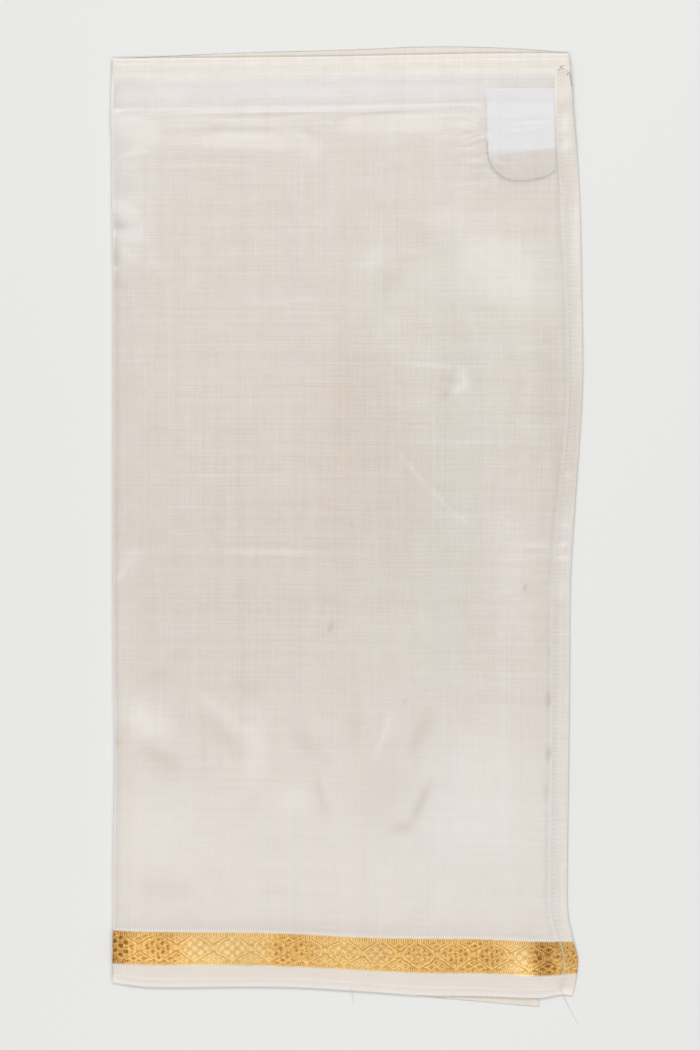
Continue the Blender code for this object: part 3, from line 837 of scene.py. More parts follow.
# Painted light and shade: a highlight on the turn of the left fold, and shadow beside it and below the upper
# hem
FOLD_EDGE_PAINTED_LIGHT = 1.0
FOLD_PAINTED_SHADE = 0.4
SEAM_DARKER = 0.2
HEM_PAINTED_SHADE = 0.3
GREEN_PALER = 0.08
FOLD_WARMER = 0.8
SEAM_WARMER = 0.6
FOLD_CLOSED = (0.4, 3.0)  # two places: where a change starts and ends; four: where it comes and goes
FOLD_EDGE = (0.1, 0.7)
FOLD_SHADOW = (0.2, 0.9, 2.0, 6.0)
FOLD_SHADOW_DOWN = (60, 140)
HEM_SHADOW = (1.0, 4.0)
GREEN_ALONG = (157, 167)
GREEN_DOWN = (90, 160, 390, 450)
GREEN_END_ALONG = (240, 262)
GREEN_END_DOWN = (260, 300)
TAPE_TONE = 0.6
TAPE_CRISP = 0.4


def seam_cover(along, down):
    """How far the cloth closes up along the step, where it is sewn to the hems, and close to the gold."""
    past_step = down - top_edge(along) - STEP_DOWN
    at_step = np.exp(-(((past_step + STEP_CLOSES_ABOVE) / STEP_CLOSED_HALF) ** 2))
    at_step = STEP_COVER * at_step * (1 - over_label(along))
    at_upper = HEM_COVER * (1 - ease(SEAM, UPPER_REACH, down - hem_foot(along)))
    reach = mix(NARROW_REACH, WIDE_REACH, ease(*WIDENS_DOWN, down))
    at_side = HEM_COVER * (1 - ease(SEAM, reach, hem_line(down) - along))
    at_gold = GOLD_COVER * ease(*GOLD_CLOSED, down - border_top(along))
    return np.maximum.reduce((at_upper, at_side, at_step, at_gold))


def ground_finish(along, down):
    """The ground's painted light and shade: by place down, by patch, a painted highlight on the turn of the
    left fold with painted shadow beside it and below the upper hem; and paler over the white tape of the
    label.
    """
    tape = band(LABEL_LEFT - 1, LABEL_LEFT + 1, LABEL_RIGHT, LABEL_RIGHT + 2, along)
    tape_end = LABEL_TOP + LABEL_SQUARE
    tape = tape * band(LABEL_TOP - 1, LABEL_TOP + 1, tape_end - 2, tape_end + 3, down)
    inward = along - left_fold(down)
    beside_fold = band(*FOLD_SHADOW, inward) * ease(*FOLD_SHADOW_DOWN, down)
    at_seams = seam_cover(along, down)
    green = ease(*GREEN_ALONG, along) * band(*GREEN_DOWN, down)
    green = green * (1 - ease(*GREEN_END_ALONG, along) * ease(*GREEN_END_DOWN, down))
    # painted light and shade from the table, with the flecks of husk
    tone = tone_down(down) + rows_added(PAINTED_SHADES_AND_THREADS + FLECKS, along, down)
    tone = tone + FOLD_EDGE_PAINTED_LIGHT * (1 - ease(*FOLD_EDGE, inward))
    tone = tone - FOLD_PAINTED_SHADE * beside_fold - SEAM_DARKER * at_seams
    tone = tone - HEM_PAINTED_SHADE * (1 - ease(*HEM_SHADOW, down - hem_foot(along))) + GREEN_PALER * green
    warm = rows_added(WARMTHS, along, down) + FOLD_WARMER * beside_fold + SEAM_WARMER * at_seams
    cover = np.maximum(FOLD_COVER * (1 - ease(*FOLD_CLOSED, inward)), at_seams)
    crisp = mix(crisp_down(down), TAPE_CRISP, tape)
    return Finish(0.0, mix(tone, TAPE_TONE, tape), crisp, warm, cover, green)


print("at the left fold the ground closes up to", FOLD_COVER)

# %% Ground cloth
SILK_WALL = 0.3
GROUND_ROWS = (
    (9.5, 12.5, 3), (12.5, 34, 11), (34, 94, 58), (94, 160, 32), (160, 206, 20),
    (206, 322, 74), (322, 430, 30), (430, 593, 67), (593, 596, 3),
)
GROUND_COLUMNS = (13, 60, 16, 34, 12, 6)
GROUND_LENGTH = GROUND_ROWS[-1][1] - GROUND_ROWS[0][0] - 2 * UNDERLAP


def stands_for(piece, slot, *nodes):
    """Every piece of this cloth rides on the one body and stands for its solids."""
    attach(piece, "root")
    if nodes:
        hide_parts(*nodes)


def upper_strip(name, lines, rows, columns, wall, material, first_v, length, finish):
    """A rolled strip between two lines. finish gives its Finish from the places."""
    along, down, height = strip_places(*lines, rows, columns)
    held = finish(along, down)
    height = height + np.where(columns.part == FLAT, held.raised, 0)
    points = placed(along, down, height)
    v = first_v + rows[0][:, None] * length + rows[1][:, None]
    v = np.broadcast_to(v, along.shape)
    return cloth_grid(name, points, along_the_cloth(points, along, columns), v, wall, material, held)


ground_lines = (shifted(hem_foot, -UNDERLAP), shifted(border_top, UNDERLAP), shifted(hem_line, UNDERLAP))
ground_columns = upper_columns(GROUND_COLUMNS, False)
ground_columns.drop[-1] = TUCK
ground = upper_strip(
    "silk_ground", ground_lines, tucked_rows(GROUND_ROWS), ground_columns,
    SILK_WALL, outer_silk, -UNDERLAP, GROUND_LENGTH + 2 * UNDERLAP, ground_finish,
)
stands_for(ground, "silk", "ground_cloth")

# %% [markdown]
# ## The hems
# A hem is the cloth's edge turned under twice and stitched down, so it is three layers thick, stiffer and
# less see-through than the ground. Its outer edge is a fold, so its last rows turn under in a small curve.
# The stitch line draws the hem in, and a shallow groove with a pucker at each stitch shows it.

# %% Upper hem
HEM_WALL = 0.26
HEM_RAISED = 0.1
STITCH_PITCH = 3.1
STITCH_IN = 1.3
GROOVE_DEPTH = 0.16
GROOVE_HALF = 0.9
PUCKER = 0.35
EDGE_GROOVE_IN = 2.4
EDGE_GROOVE_SHARE = 0.4
HEM_TONE = 0.1
HEM_EDGE_PAINTED_LIGHT = ((0.3, 1.0, 5.0), (0.7, 0.2, 1.2))  # HEM_EDGE_PAINTED_LIGHT = ((0.3, 1.0, 5.0), (0.7, 0.2, 1.2)) # painted light towards the turned edge: how much, and from where to where in from the edge
HEM_WARM = 0.4
HEM_WARM_ALONG = (100, 180)
HEM_ROWS = 14
HEM_COLUMNS = (16, 100, 24, 26, 20, 10)


def stitch_groove(distance, run):
    """The groove along a stitch line: distance is from the line, run is along it."""
    pucker = 1 - PUCKER + PUCKER * np.cos(2 * math.pi * run / STITCH_PITCH)
    return -GROOVE_DEPTH * pucker * np.exp(-((distance / GROOVE_HALF) ** 2))


def upper_hem_finish(along, down):
    """Painted paler towards the outer edge, where it turns down, and warmer to the right, with a faint second
    groove along the edge.
    """
    inward = down - top_edge(along)
    edge = stitch_groove(inward - EDGE_GROOVE_IN, along) * EDGE_GROOVE_SHARE
    groove = stitch_groove(down - (hem_foot(along) - STITCH_IN), along)
    tone = HEM_TONE + sum(paler * (1 - ease(start, end, inward)) for paler, start, end in HEM_EDGE_PAINTED_LIGHT)
    return Finish(HEM_RAISED + groove + edge, tone, 1.0, HEM_WARM * ease(*HEM_WARM_ALONG, along))


hem_rows = with_turned_edges(even(HEM_ROWS), True, False)
hem_columns = upper_columns(HEM_COLUMNS, True)
upper_hem = upper_strip(
    "upper_hem_cloth", (top_edge, hem_foot, right_edge), hem_rows, hem_columns,
    HEM_WALL, hem_silk, -TOP_HEM, TOP_HEM, upper_hem_finish,
)
stands_for(upper_hem, "hem_silk", "upper_hem")

# %% Side hem
SIDE_HEM_COLUMNS = 10
SIDE_HEM_ROWS = 420
SIDE_HEM_TONE = -0.4
SHADES_SHARE = 0.5
STITCH_GLEAM = 0.3
STITCH_GLEAM_HALF = 1.6
LOWER_PALER = 0.2
LOWER_DOWN = (400, 480)
TOP_WARM = 0.6
TOP_WARM_DOWN = (36, 70)
LOWER_COOLER = 1.1
LOWER_COOLER_DOWN = (260, 330)
PUFFS_COOLER = 0.8
PUFFS_DOWN = (36, 42, 62, 72)
# Painted light and shade on the side hem: puffs and gathers that catch the light, and its dark bend
HEM_PAINTED_SHADES = folds(
    # pale where the hem puffs up beside the label
    (307, 46, 12, 5, 80, 1.7), (308, 61, 9, 4, 50, 1.6), (308, 24, 14, 5, 84, 1.0),
    # pale along its outer edge
    (316, 110, 60, 3, 88, 0.7), (312, 132, 50, 8, 90, 0.35), (317, 185, 44, 3, 90, 0.4),
    # dark on the long bend
    (314, 268, 70, 8, 90, -0.7),
    # glints where it gathers
    (310, 285, 6, 2.5, 0, 1.0), (307, 318, 7, 3, 20, 0.8), (306, 332, 7, 2, 10, 1.5),
    (306, 341, 7, 2, 0, 1.3), (306, 364, 9, 5, 90, 0.7),
)


def side_hem_places():
    """The side hem runs between the stitch line and the right edge: along, down, height, u, v."""
    share_down = even(SIDE_HEM_ROWS)[:, None]
    share, inset, drop = with_turned_edges(even(SIDE_HEM_COLUMNS), False, True)
    top = hem_foot(SIDES[0].right) - UNDERLAP
    foot = border_top(SIDES[0].right) + UNDERLAP
    down = mix(top, foot, share_down) + 0 * share
    drop = np.maximum(drop, TUCK * (tucked(down - top) + tucked(foot - down)))
    along = mix(hem_line(down), right_edge(down), share) + inset
    groove = stitch_groove(along - hem_line(down) - STITCH_IN, down)
    height = upper_surface(along, down) + HEM_RAISED + groove - drop
    return along, down, height, along - hem_line(down), share_down * GROUND_LENGTH + 0 * share


def side_hem_tone(along, down):
    """Tan at the label's end and paler below, with the painted light and shade of its table, and a painted
    gleam that comes and goes at every stitch beside the line.
    """
    from_line = along - hem_line(down) - STITCH_IN
    # a painted gleam and shade, by turns, at every stitch
    stitches = STITCH_GLEAM * np.cos(2 * math.pi * down / STITCH_PITCH)
    stitches = stitches * np.exp(-((from_line / STITCH_GLEAM_HALF) ** 2))
    shades = SHADES_SHARE * rows_added(HEM_PAINTED_SHADES, along, down)
    return SIDE_HEM_TONE + shades + stitches + LOWER_PALER * ease(*LOWER_DOWN, down)


def side_hem_warm(down):
    """Warm at the top, cool where it puffs up beside the label, and cooler down the lower half."""
    warm = TOP_WARM - TOP_WARM * ease(*TOP_WARM_DOWN, down)
    return warm - LOWER_COOLER * ease(*LOWER_COOLER_DOWN, down) - PUFFS_COOLER * band(*PUFFS_DOWN, down)


along, down, height, u, v = side_hem_places()
side_hem = cloth_grid(
    "side_hem_cloth", placed(along, down, height), u, v, HEM_WALL, hem_silk,
    Finish(0.0, side_hem_tone(along, down), 1.0, side_hem_warm(down)),
)
stands_for(side_hem, "hem_silk", "side_hem")

# %% [markdown]
# ## Stitches
# The hems are sewn by machine: short straight stitches in a row, each one sinking into the cloth at its
# ends. Each is a small ball, drawn out long and thin, turned along the stitch line and moved to its place.

# %% Stitches
STITCH_LENGTH = 2.5
STITCH_THICK = 0.28
STITCH_SUNK = GROOVE_DEPTH * 0.5
FROM_END = 3.0
cotton = plain("cotton_thread", (0.86, 0.82, 0.77), 0.6)


def stitch_row(name, places, material, length=STITCH_LENGTH, thick=STITCH_THICK):
    """One joined mesh of stitches. places holds (point, direction) in millimetres and radians."""
    shape = bmesh.new()
    for point, turn in places:
        made = bmesh.ops.create_uvsphere(shape, u_segments=6, v_segments=4, radius=0.5)["verts"]
        bmesh.ops.rotate(shape, verts=made, matrix=Matrix.Rotation(math.pi / 2, 3, "Y"))
        bmesh.ops.scale(shape, verts=made, vec=(length, thick, thick))
        bmesh.ops.rotate(shape, verts=made, matrix=Matrix.Rotation(turn, 3, "Z"))
        bmesh.ops.translate(shape, verts=made, vec=point)
    bmesh.ops.scale(shape, verts=shape.verts, vec=(MM, MM, MM))
    mesh = mesh_from(shape, name, material)
    mesh.shade_smooth()
    print(name, "has", len(places), "stitches")
    return in_scene(name, mesh)


def upper_hem_stitches():
    for along in np.arange(STITCH_PITCH, right_edge(TOP_HEM) - FROM_END, STITCH_PITCH):
        down = float(hem_foot(along)) - STITCH_IN
        height = float(upper_surface(along, down)) - STITCH_SUNK
        yield placed(along, down, height), 0.0


def side_hem_stitches():
    """These follow the stitch line as it turns, so each takes its direction from the line round it."""
    last = float(foot_edge(SIDES[-1].hem)) - FROM_END
    for down in np.arange(float(hem_foot(SIDES[0].hem)) + STITCH_PITCH, last, STITCH_PITCH):
        along = float(hem_line(down)) + STITCH_IN
        ahead = float(hem_line(down + 1)) - float(hem_line(down - 1))
        height = float(upper_surface(along, down)) - STITCH_SUNK
        yield placed(along, down, height), -math.pi / 2 + math.atan2(ahead, 2)


upper_stitches = stitch_row("upper_hem_stitches", list(upper_hem_stitches()), cotton)
side_stitches = stitch_row("side_hem_stitches", list(side_hem_stitches()), cotton)
for piece in (upper_stitches, side_stitches):
    stands_for(piece, "hem_silk")

# %% [markdown]
# ## The gold border
# Zari is silk thread wrapped in gilded metal. The border is woven with the cloth: a row of bars along each
# edge, and between them a chain of flowers. Each flower is nine round cells set as a diamond, with a dot
# above and below, and lozenges of slanting lattice fill the spaces between the flowers. A woven figure is a
# chart: every crossing of threads is either one colour or another. So each face of a fine grid is one
# crossing, and a function says what is woven there from its place in the repeat. The same function lifts
# the raised cells.

# %% The woven figure
REPEAT = 25.25
REPEAT_START = 6.1
UPPER_BARS = 2.9
LOWER_BARS = 2.6
BAR_PITCH = 1.55
FLOWER_MIDDLE = 10.7
CELLS = ((0, 0, 1.75), (3.6, 3.05, 1.75), (7.1, 0, 1.85), (0, 5.9, 1.45), (0, 9.2, 0.65))  # x, y, radius
RIM = 0.52
ARCH_MIDDLE = 7.1
ARCH_RADIUS = 3.3
ARCH_HALF = 0.35
SLOPE = 0.58
APEX = 2.0
LOZENGE_REACH = 12.6
FRAME_FROM = -1.0
FRAME_TO = -0.2
FRAME_ENDS = 2.2
STROKE_PITCH = 0.9
STROKES_HALF = 2.0
STROKES_DOWN = APEX - 0.5
OUTLINE = 1.0
LATTICE_PITCH = 4.4
LATTICE_FIRST = 1.2
LATTICE_LINE = 0.42
LATTICE_CELL = 1.15
UPPER_PICKS = 0.6
LOWER_PICKS = 0.7
GROUND, BAR, GAP, CELL, HALO, LINE, SHADOW, PICK = range(8)
LIFTS = (0.0, 0.05, 0.0, 0.05, 0.02, 0.04, 0.0, 0.02)  # in the same order


def from_lattice_line(distance):
    """How far a place is from the nearest line of the lattice, in its own slanting direction."""
    return np.abs((distance - LATTICE_FIRST + LATTICE_PITCH / 2) % LATTICE_PITCH - LATTICE_PITCH / 2)


def uneven(along, across):
    """Hand weaving drifts: the figure wanders by a few threads along the border and across it."""
    wandered = along + 0.35 * np.sin(0.9 * across + 0.21 * along) + 0.25 * np.sin(0.37 * along)
    return wandered, across + 0.3 * np.sin(0.31 * along + 1) + 0.15 * np.sin(1.1 * along)


def zari_chart(place_along, place_across):
    """What is woven at each place, in millimetres along the border and down from its upper edge."""
    along, across = uneven(place_along, place_across)
    x = np.abs((along - REPEAT_START + REPEAT / 2) % REPEAT - REPEAT / 2)
    y = FLOWER_MIDDLE - across
    chart = np.full(x.shape, GROUND)
    for cell_x, cell_y, radius in CELLS:  # the flower's cells, each with a bright rim
        chart[np.hypot(x - cell_x, np.abs(y) - cell_y) < radius + RIM] = HALO
    for cell_x, cell_y, radius in CELLS:
        chart[np.hypot(x - cell_x, np.abs(y) - cell_y) < radius] = CELL
    arch = np.abs(np.hypot(x - ARCH_MIDDLE, y) - ARCH_RADIUS)
    chart[(arch < ARCH_HALF) & (x > ARCH_MIDDLE + 1)] = LINE
    between = REPEAT / 2 - x
    near = np.abs(y) - APEX - SLOPE * between  # how far inside the lozenge between two flowers
    far = np.abs(y) - APEX + SLOPE * between
    chart[(near > FRAME_FROM) & (near < FRAME_TO) & (between > FRAME_ENDS)] = LINE
    inside = (near > 0) & (far < LOZENGE_REACH)
    lines = np.minimum(from_lattice_line(near), from_lattice_line(far))
    lattice = np.where(lines < LATTICE_LINE, LINE, np.where(lines > LATTICE_CELL, CELL, GROUND))
    chart[inside] = lattice[inside]
    chart[inside & ((near < OUTLINE) | (far > LOZENGE_REACH - OUTLINE))] = SHADOW
    strokes = (np.abs(y) < STROKES_DOWN) & (between < STROKES_HALF)
    chart[strokes] = np.where((between / STROKE_PITCH) % 1 < 0.5, LINE, GROUND)[strokes]
    in_bars = (across < UPPER_BARS) | (across > BORDER_WIDTH - LOWER_BARS)
    bar = (place_along / BAR_PITCH) % 1 < 0.5
    chart[in_bars] = np.where(bar, BAR, GAP)[in_bars]
    picks = (place_across < UPPER_PICKS) | (place_across > BORDER_WIDTH - LOWER_PICKS)
    chart[picks & ~bar] = PICK
    return chart


def chart_lift(along, across):
    """How far each crossing stands out, in millimetres."""
    return np.array(LIFTS)[zari_chart(along, across)]


print("the figure repeats every", REPEAT, "mm")

# %% Zari material
ZARI_COLOURS = (
    (0.72, 0.395, 0.10),  # ground
    (0.94, 0.60, 0.21),  # bar
    (0.62, 0.35, 0.09),  # gap
    (0.56, 0.28, 0.05),  # cell
    (0.96, 0.63, 0.235),  # halo
    (0.96, 0.63, 0.235),  # line
    (0.61, 0.335, 0.08),  # shadow
    (0.80, 0.72, 0.64),  # pick
)
ZARI_THREADS = (
    Threads("patches", 60, 60, 0.35, 0.0),
    Threads("ribs", 1500, 500, 0.3, 1.0),
    Threads("painted_glints", 400, 300, 0.26, 0.0),
)
ZARI_SHADE = 0.56
ZARI_CONTRAST = -0.55
RIB_LIFT = 0.00006
RIB_BUMP = 0.6


def zari_material(name):
    """Gilded thread whose colour is the face's attribute woven, with fine ribs across and painted glints,
    deepened or lightened by the tone as painted light and shade.
    """
    made, tree, shader = new_material(name)
    woven = add(tree, "ShaderNodeAttribute", attribute_name="woven").outputs["Color"]
    weave_map = add(tree, "ShaderNodeUVMap", uv_map="weave").outputs[0]
    shade, lift = ZARI_SHADE, 0.0
    for threads in ZARI_THREADS:
        noise = thread_noise(tree, weave_map, threads)
        shade = maths(tree, "MULTIPLY_ADD", noise, threads.strength, shade)
        lift = maths(tree, "MULTIPLY_ADD", noise, threads.height, lift)
    shades = add(tree, "ShaderNodeCombineColor", {0: shade, 1: shade, 2: shade}).outputs[0]
    colour = blended(tree, 1.0, woven, shades, "MULTIPLY")
    # painted light and shade: the gold's tone deepens the colour through a gamma where it looks away from the
    # light, and lightens it where it gleams
    depth = maths(tree, "MULTIPLY_ADD", attribute(tree, "tone"), ZARI_CONTRAST, 1.0)
    colour = add(tree, "ShaderNodeGamma", {"Color": colour, "Gamma": depth}).outputs[0]
    tree.links.new(colour, shader.inputs["Base Color"])
    bump = add(tree, "ShaderNodeBump", {"Height": lift, "Distance": RIB_LIFT, "Strength": RIB_BUMP})
    tree.links.new(bump.outputs[0], shader.inputs["Normal"])
    shader.inputs["Metallic"].default_value = 0.55
    shader.inputs["Roughness"].default_value = 0.38
    return made


zari = zari_material("zari")
print(len(ZARI_COLOURS), "colours of thread")

# %% Gold border
THREAD = 0.42
ZARI_ROWS = round(BORDER_WIDTH / THREAD)
ZARI_COLUMNS = (57, 395, 86, 95, 95, 24)
# Painted light and shade on the gold: by its tone, cells gleam bright and sunk threads turn dark
GLEAM_PATCH = 0.22
GLEAM = 0.72  # how far a cell's colour turns to bright where the gold catches the light
GLEAM_RAMP = (-0.14, 0.16)
BRIGHT = (1.0, 0.71, 0.32)
DEEPEN = 0.58  # how far the sunk threads turn dark where the gold looks away from the light
DEEPEN_RAMP = (0.12, 0.4)
DEEP = (0.22, 0.085, 0.015)
DULL = 0.2  # and how far the raised threads fade with them
DULL_RAMP = (0.0, 0.4)
# the gold's tone along the border, painted light and shade
GOLD_ROWS = table(
    "along tone",
    (0, -0.42), (8, -0.38), (14, -0.08), (38, -0.12), (54, 0.22), (98, 0.22), (114, -0.08),
    (128, -0.06), (144, 0.12), (176, 0.12), (200, -0.02), (228, -0.04), (246, -0.10), (262, -0.04),
    (276, 0.32), (284, 0.0), (291, -0.38), (299, -0.36), (306, 0.02), (313, -0.08), (320, -0.2),
)
gold_tone = column_curve(GOLD_ROWS, "along", "tone")


def zari_finish(along, down):
    """The woven relief, and the gold's tone: it gleams or goes dark as the band tilts to the light."""
    return Finish(chart_lift(along, down - border_top(along)), gold_tone(along))


border_rows = with_turned_edges(even(ZARI_ROWS), False, False)
border = upper_strip(
    "zari_band", (border_top, border_foot, right_edge), border_rows, upper_columns(ZARI_COLUMNS, True),
    HEM_WALL, zari, GROUND_LENGTH, BORDER_WIDTH, zari_finish,
)


def patchy(along, across):
    """The floats lie this way and that, so single cells gleam or stay dark."""
    return GLEAM_PATCH * np.sin(1.3 * along + 0.9 * across) * np.sin(0.5 * along - 1.1 * across)


def map_places(mesh):
    """Where each corner of each face lies on the cloth's map, in metres."""
    places = np.empty(len(mesh.loops) * 2)
    mesh.uv_layers["weave"].data.foreach_get("uv", places)
    return places


def weave_colours(piece, first_v):
    """Writes each face's woven colour from its place on the cloth's map, with painted gleam and shade by the
    gold's tone.
    """
    mesh = piece.data
    middle = map_places(mesh).reshape(-1, 4, 2).mean(axis=1) / MM
    chart = zari_chart(middle[:, 0], middle[:, 1] - first_v)
    colours = np.ones((len(chart), 4), np.float32)
    colours[:, :3] = np.array(ZARI_COLOURS)[chart]
    tone = gold_tone(middle[:, 0]) + patchy(middle[:, 0], middle[:, 1])
    gleam = GLEAM * ease(*GLEAM_RAMP, tone)
    deep = DEEPEN * ease(*DEEPEN_RAMP, -tone)
    dull = DULL * ease(*DULL_RAMP, -tone)
    cells, halos = chart == CELL, chart == HALO
    sunk = cells | (chart == SHADOW) | (chart == GAP)
    turned = ((cells, BRIGHT, gleam), (halos, ZARI_COLOURS[GAP], gleam), (sunk, DEEP, deep))
    for where, towards, share in turned:
        colours[where, :3] = mix(colours[where, :3], np.array(towards), share[where, None])
    colours[~sunk, :3] *= 1 - dull[~sunk, None]
    layer = mesh.attributes.new("woven", "FLOAT_COLOR", "FACE")
    layer.data.foreach_set("color", colours.ravel())


weave_colours(border, GROUND_LENGTH)
stands_for(border, "zari", "zari_border")

# %% [markdown]
# ## Ticks along the gold
# Above and below the gold, its binding threads run on into the silk as a row of short pale ticks, one
# between two bars. They are floats of thread too small for the weave's shade, so they are made as the
# stitches are.

# %% Ticks
TICK_LENGTH = 2.0
TICK_THICK = 0.4
TICK_HEIGHT = 0.08  # the middle of a tick lies this far above the silk
FIRST_TICK = 0.75 * BAR_PITCH
TICKS_FROM_END = 1.5
tick_silk = plain("tick_silk", (0.93, 0.895, 0.865), 0.5)


def ticks_along(edge, outward):
    """Places just outside an edge of the gold, outward millimetres further down the cloth."""
    last = float(right_edge(edge(SIDES[0].right))) - TICKS_FROM_END
    for along in np.arange(FIRST_TICK, last, BAR_PITCH):
        down = float(edge(along)) + outward
        yield placed(along, down, float(upper_surface(along, down)) + TICK_HEIGHT), math.pi / 2


for name, edge, outward in (("upper_ticks", border_top, -1.1), ("lower_ticks", border_foot, 0.7)):
    ticks = list(ticks_along(edge, outward))
    stands_for(stitch_row(name, ticks, tick_silk, TICK_LENGTH, TICK_THICK), "silk")

# %% [markdown]
# ## The selvedge
# Below the gold the loom leaves a plain edge, the selvedge. Its threads lie closer, so it is less see-
# through than the ground, and its lower edge is rounded where the weft turns back. It is a narrow strip in
# the hems' silk, whose first rows pass under the gold.

# %% Selvedge
SELVEDGE_ROWS = 14
SELVEDGE_TUCK = (0.0, 0.16)
SELVEDGE_TONE = -0.25
SELVEDGE_CRISP = 0.45
SELVEDGE_WARM = 0.75
GOLD_DARKER = 0.1
NEAR_GOLD = (0, 5)
FOOT_PAINTED_LIGHT = 0.85
NEAR_FOOT = (1.5, 7.0)


def selvedge_finish(along, down):
    """A shade darker close to the gold, whose tension draws the plain edge in, and painted paler towards its
    foot, where the edge falls away.
    """
    near_gold = 1 - ease(*NEAR_GOLD, down - border_foot(along))
    near_foot = 1 - ease(*NEAR_FOOT, foot_edge(along) - down)
    tone = SELVEDGE_TONE - GOLD_DARKER * near_gold + FOOT_PAINTED_LIGHT * near_foot
    return Finish(0.0, tone, SELVEDGE_CRISP, SELVEDGE_WARM)


selvedge_lines = (shifted(border_foot, -UNDERLAP), foot_edge, right_edge)
share, inset, drop = with_turned_edges(even(SELVEDGE_ROWS), False, True)
drop = np.maximum(drop, TUCK * (1 - ease(*SELVEDGE_TUCK, share)))
selvedge = upper_strip(
    "plain_selvedge", selvedge_lines, (share, inset, drop), hem_columns,
    HEM_WALL, hem_silk, GROUND_LENGTH + BORDER_WIDTH - UNDERLAP, SELVEDGE_WIDTH + UNDERLAP, selvedge_finish,
)
stands_for(selvedge, "silk", "selvedge")

# %% [markdown]
# ## The folded layers
# Between the upper and the under stretch lies the rest of the length, folded to and fro. It is one sheet
# whose section runs left, turns up, runs right, turns again, and so on, so every turn is a real fold. Hands
# never stack edges exactly, so a short table sets each layer back by a different amount.

# %% Folded layers
LAYERS = table(
    "left right top foot",
    (1.7, -3.0, 0.0, 3.4),
    (1.9, -3.6, 0.9, 5.2),
    (1.2, -2.8, 1.6, 4.0),
    (1.4, -3.4, 2.6, 2.6),
)
LAYERS_AHEAD = 1.8
LAYER_COLUMN_RUNS = ((0, 0.012, 8), (0.012, 1, 44))
LAYER_ROWS = 130
LAYER_ROUNDS = 3
LAYER_BASE = 1.1
LAYER_CLEAR = 1.15
FOLD_CLEAR = 0.5
FOLD_CLEAR_WIDTH = 8.0
LAYER_TURNS = np.radians([30, 60, 90, 120, 150])


def layer_height(number, along, down):
    """The layers share the room inside the upper stretch and its roll, and close up towards the fold."""
    radius = smooth_surface(along, down) / 2
    from_fold = along - left_fold(down)
    inward = np.clip(from_fold, 0, radius)
    clear = mix(FOLD_CLEAR, LAYER_CLEAR, ease(0, FOLD_CLEAR_WIDTH, from_fold))
    half_room = np.sqrt(np.maximum((radius - clear) ** 2 - (radius - inward) ** 2, 0))
    base = np.maximum(LAYER_BASE, radius - half_room)
    top = np.minimum(radius + half_room, upper_surface(along, down) - FOLD_CLEAR)
    return mix(base, np.maximum(top, base), (number + 1) / len(LAYERS))


def folded_places():
    """The sheet's section, from the lowest layer's right end to the topmost layer's: along, down, height."""
    share = even(LAYER_ROWS)[:, None]
    parts = []
    for number, layer in enumerate(LAYERS):
        across = stations(*LAYER_COLUMN_RUNS)[None, :]
        across = across if number % 2 else 1 - across
        along = np.zeros((LAYER_ROWS + 1, across.shape[1]))
        for _ in range(LAYER_ROUNDS):
            first = top_edge(along) + STEP_DOWN - LAYERS_AHEAD + layer.top
            down = mix(first, foot_edge(along) - layer.foot, share)
            along = mix(left_fold(down) + layer.left, hem_line(down) - layer.right, across)
        parts.append((along, down, layer_height(number, along, down)))
        if number + 1 < len(LAYERS):
            end_along, end_down, end_height = (part[:, -1:] for part in parts[-1])
            rise = layer_height(number + 1, end_along, end_down) - end_height
            side = 1 if number % 2 else -1
            out = end_along + side * (rise / 2) * np.sin(LAYER_TURNS)
            up = end_height + rise / 2 * (1 - np.cos(LAYER_TURNS))
            parts.append((out, end_down + 0 * out, up))
    return (np.concatenate(part, axis=1) for part in zip(*parts))


along, down, height = folded_places()
points = placed(along, down, height)
v = np.broadcast_to(stations((0, GROUND_LENGTH, LAYER_ROWS))[:, None], along.shape)
layers = cloth_grid("folded_silk", points, measured_along(points), v, SILK_WALL, layer_silk)
stands_for(layers, "silk", "folded_layers")

# %% [markdown]
# ## The under stretch
# The lowest stretch lies flat. It has the same hem, ground, border and selvedge as the upper one. It shows
# as a thin line above the upper hem, and as a corner below the selvedge, because hands folded it askew.

# %% Under stretch
UNDER_START = 2.4
UNDER_TOP = 0.36
OVER_TAIL_TOP = 0.68
UNDER_COLUMNS = 90
TAIL_SLOPE = 4.0
# The under hem's finish is darker, a painted shade where it lies under the upper edge, and warmer
UNDER_HEM_FINISH = Finish(0.0, -0.3, 1.0, 0.8)
under_hem_foot = shifted(under_top, TOP_HEM)
under_selvedge_top = shifted(under_foot, -SELVEDGE_WIDTH)
under_border_top = shifted(under_selvedge_top, -BORDER_WIDTH)


def under_strip(strip):
    """A flat strip, a little higher where it lies over the upper stretch's tail."""
    rows = with_turned_edges(even(strip.rows), strip.turned_top, strip.turned_foot)
    share, inset, row_drop = (part[:, None] for part in rows)
    across, back, drop = with_turned_edges(even(UNDER_COLUMNS), False, True)
    drop = np.minimum(np.maximum(row_drop, drop), UNDER_TOP - SILK_WALL)
    along = np.zeros(drop.shape)
    for _ in range(ROUNDS):
        down = mix(strip.top(along), strip.foot(along), share) + inset
        along = mix(UNDER_START, under_right(down), across) + back
    height = mix(OVER_TAIL_TOP, UNDER_TOP, ease(TAIL_END, TAIL_END + TAIL_SLOPE, along)) - drop
    v = np.broadcast_to(strip.first_v + share * strip.length, along.shape)
    finish = UNDER_HEM_FINISH if strip.material is hem_silk else PLAIN
    points = placed(along, down, height)
    return cloth_grid(strip.name, points, along, v, SILK_WALL, strip.material, finish)


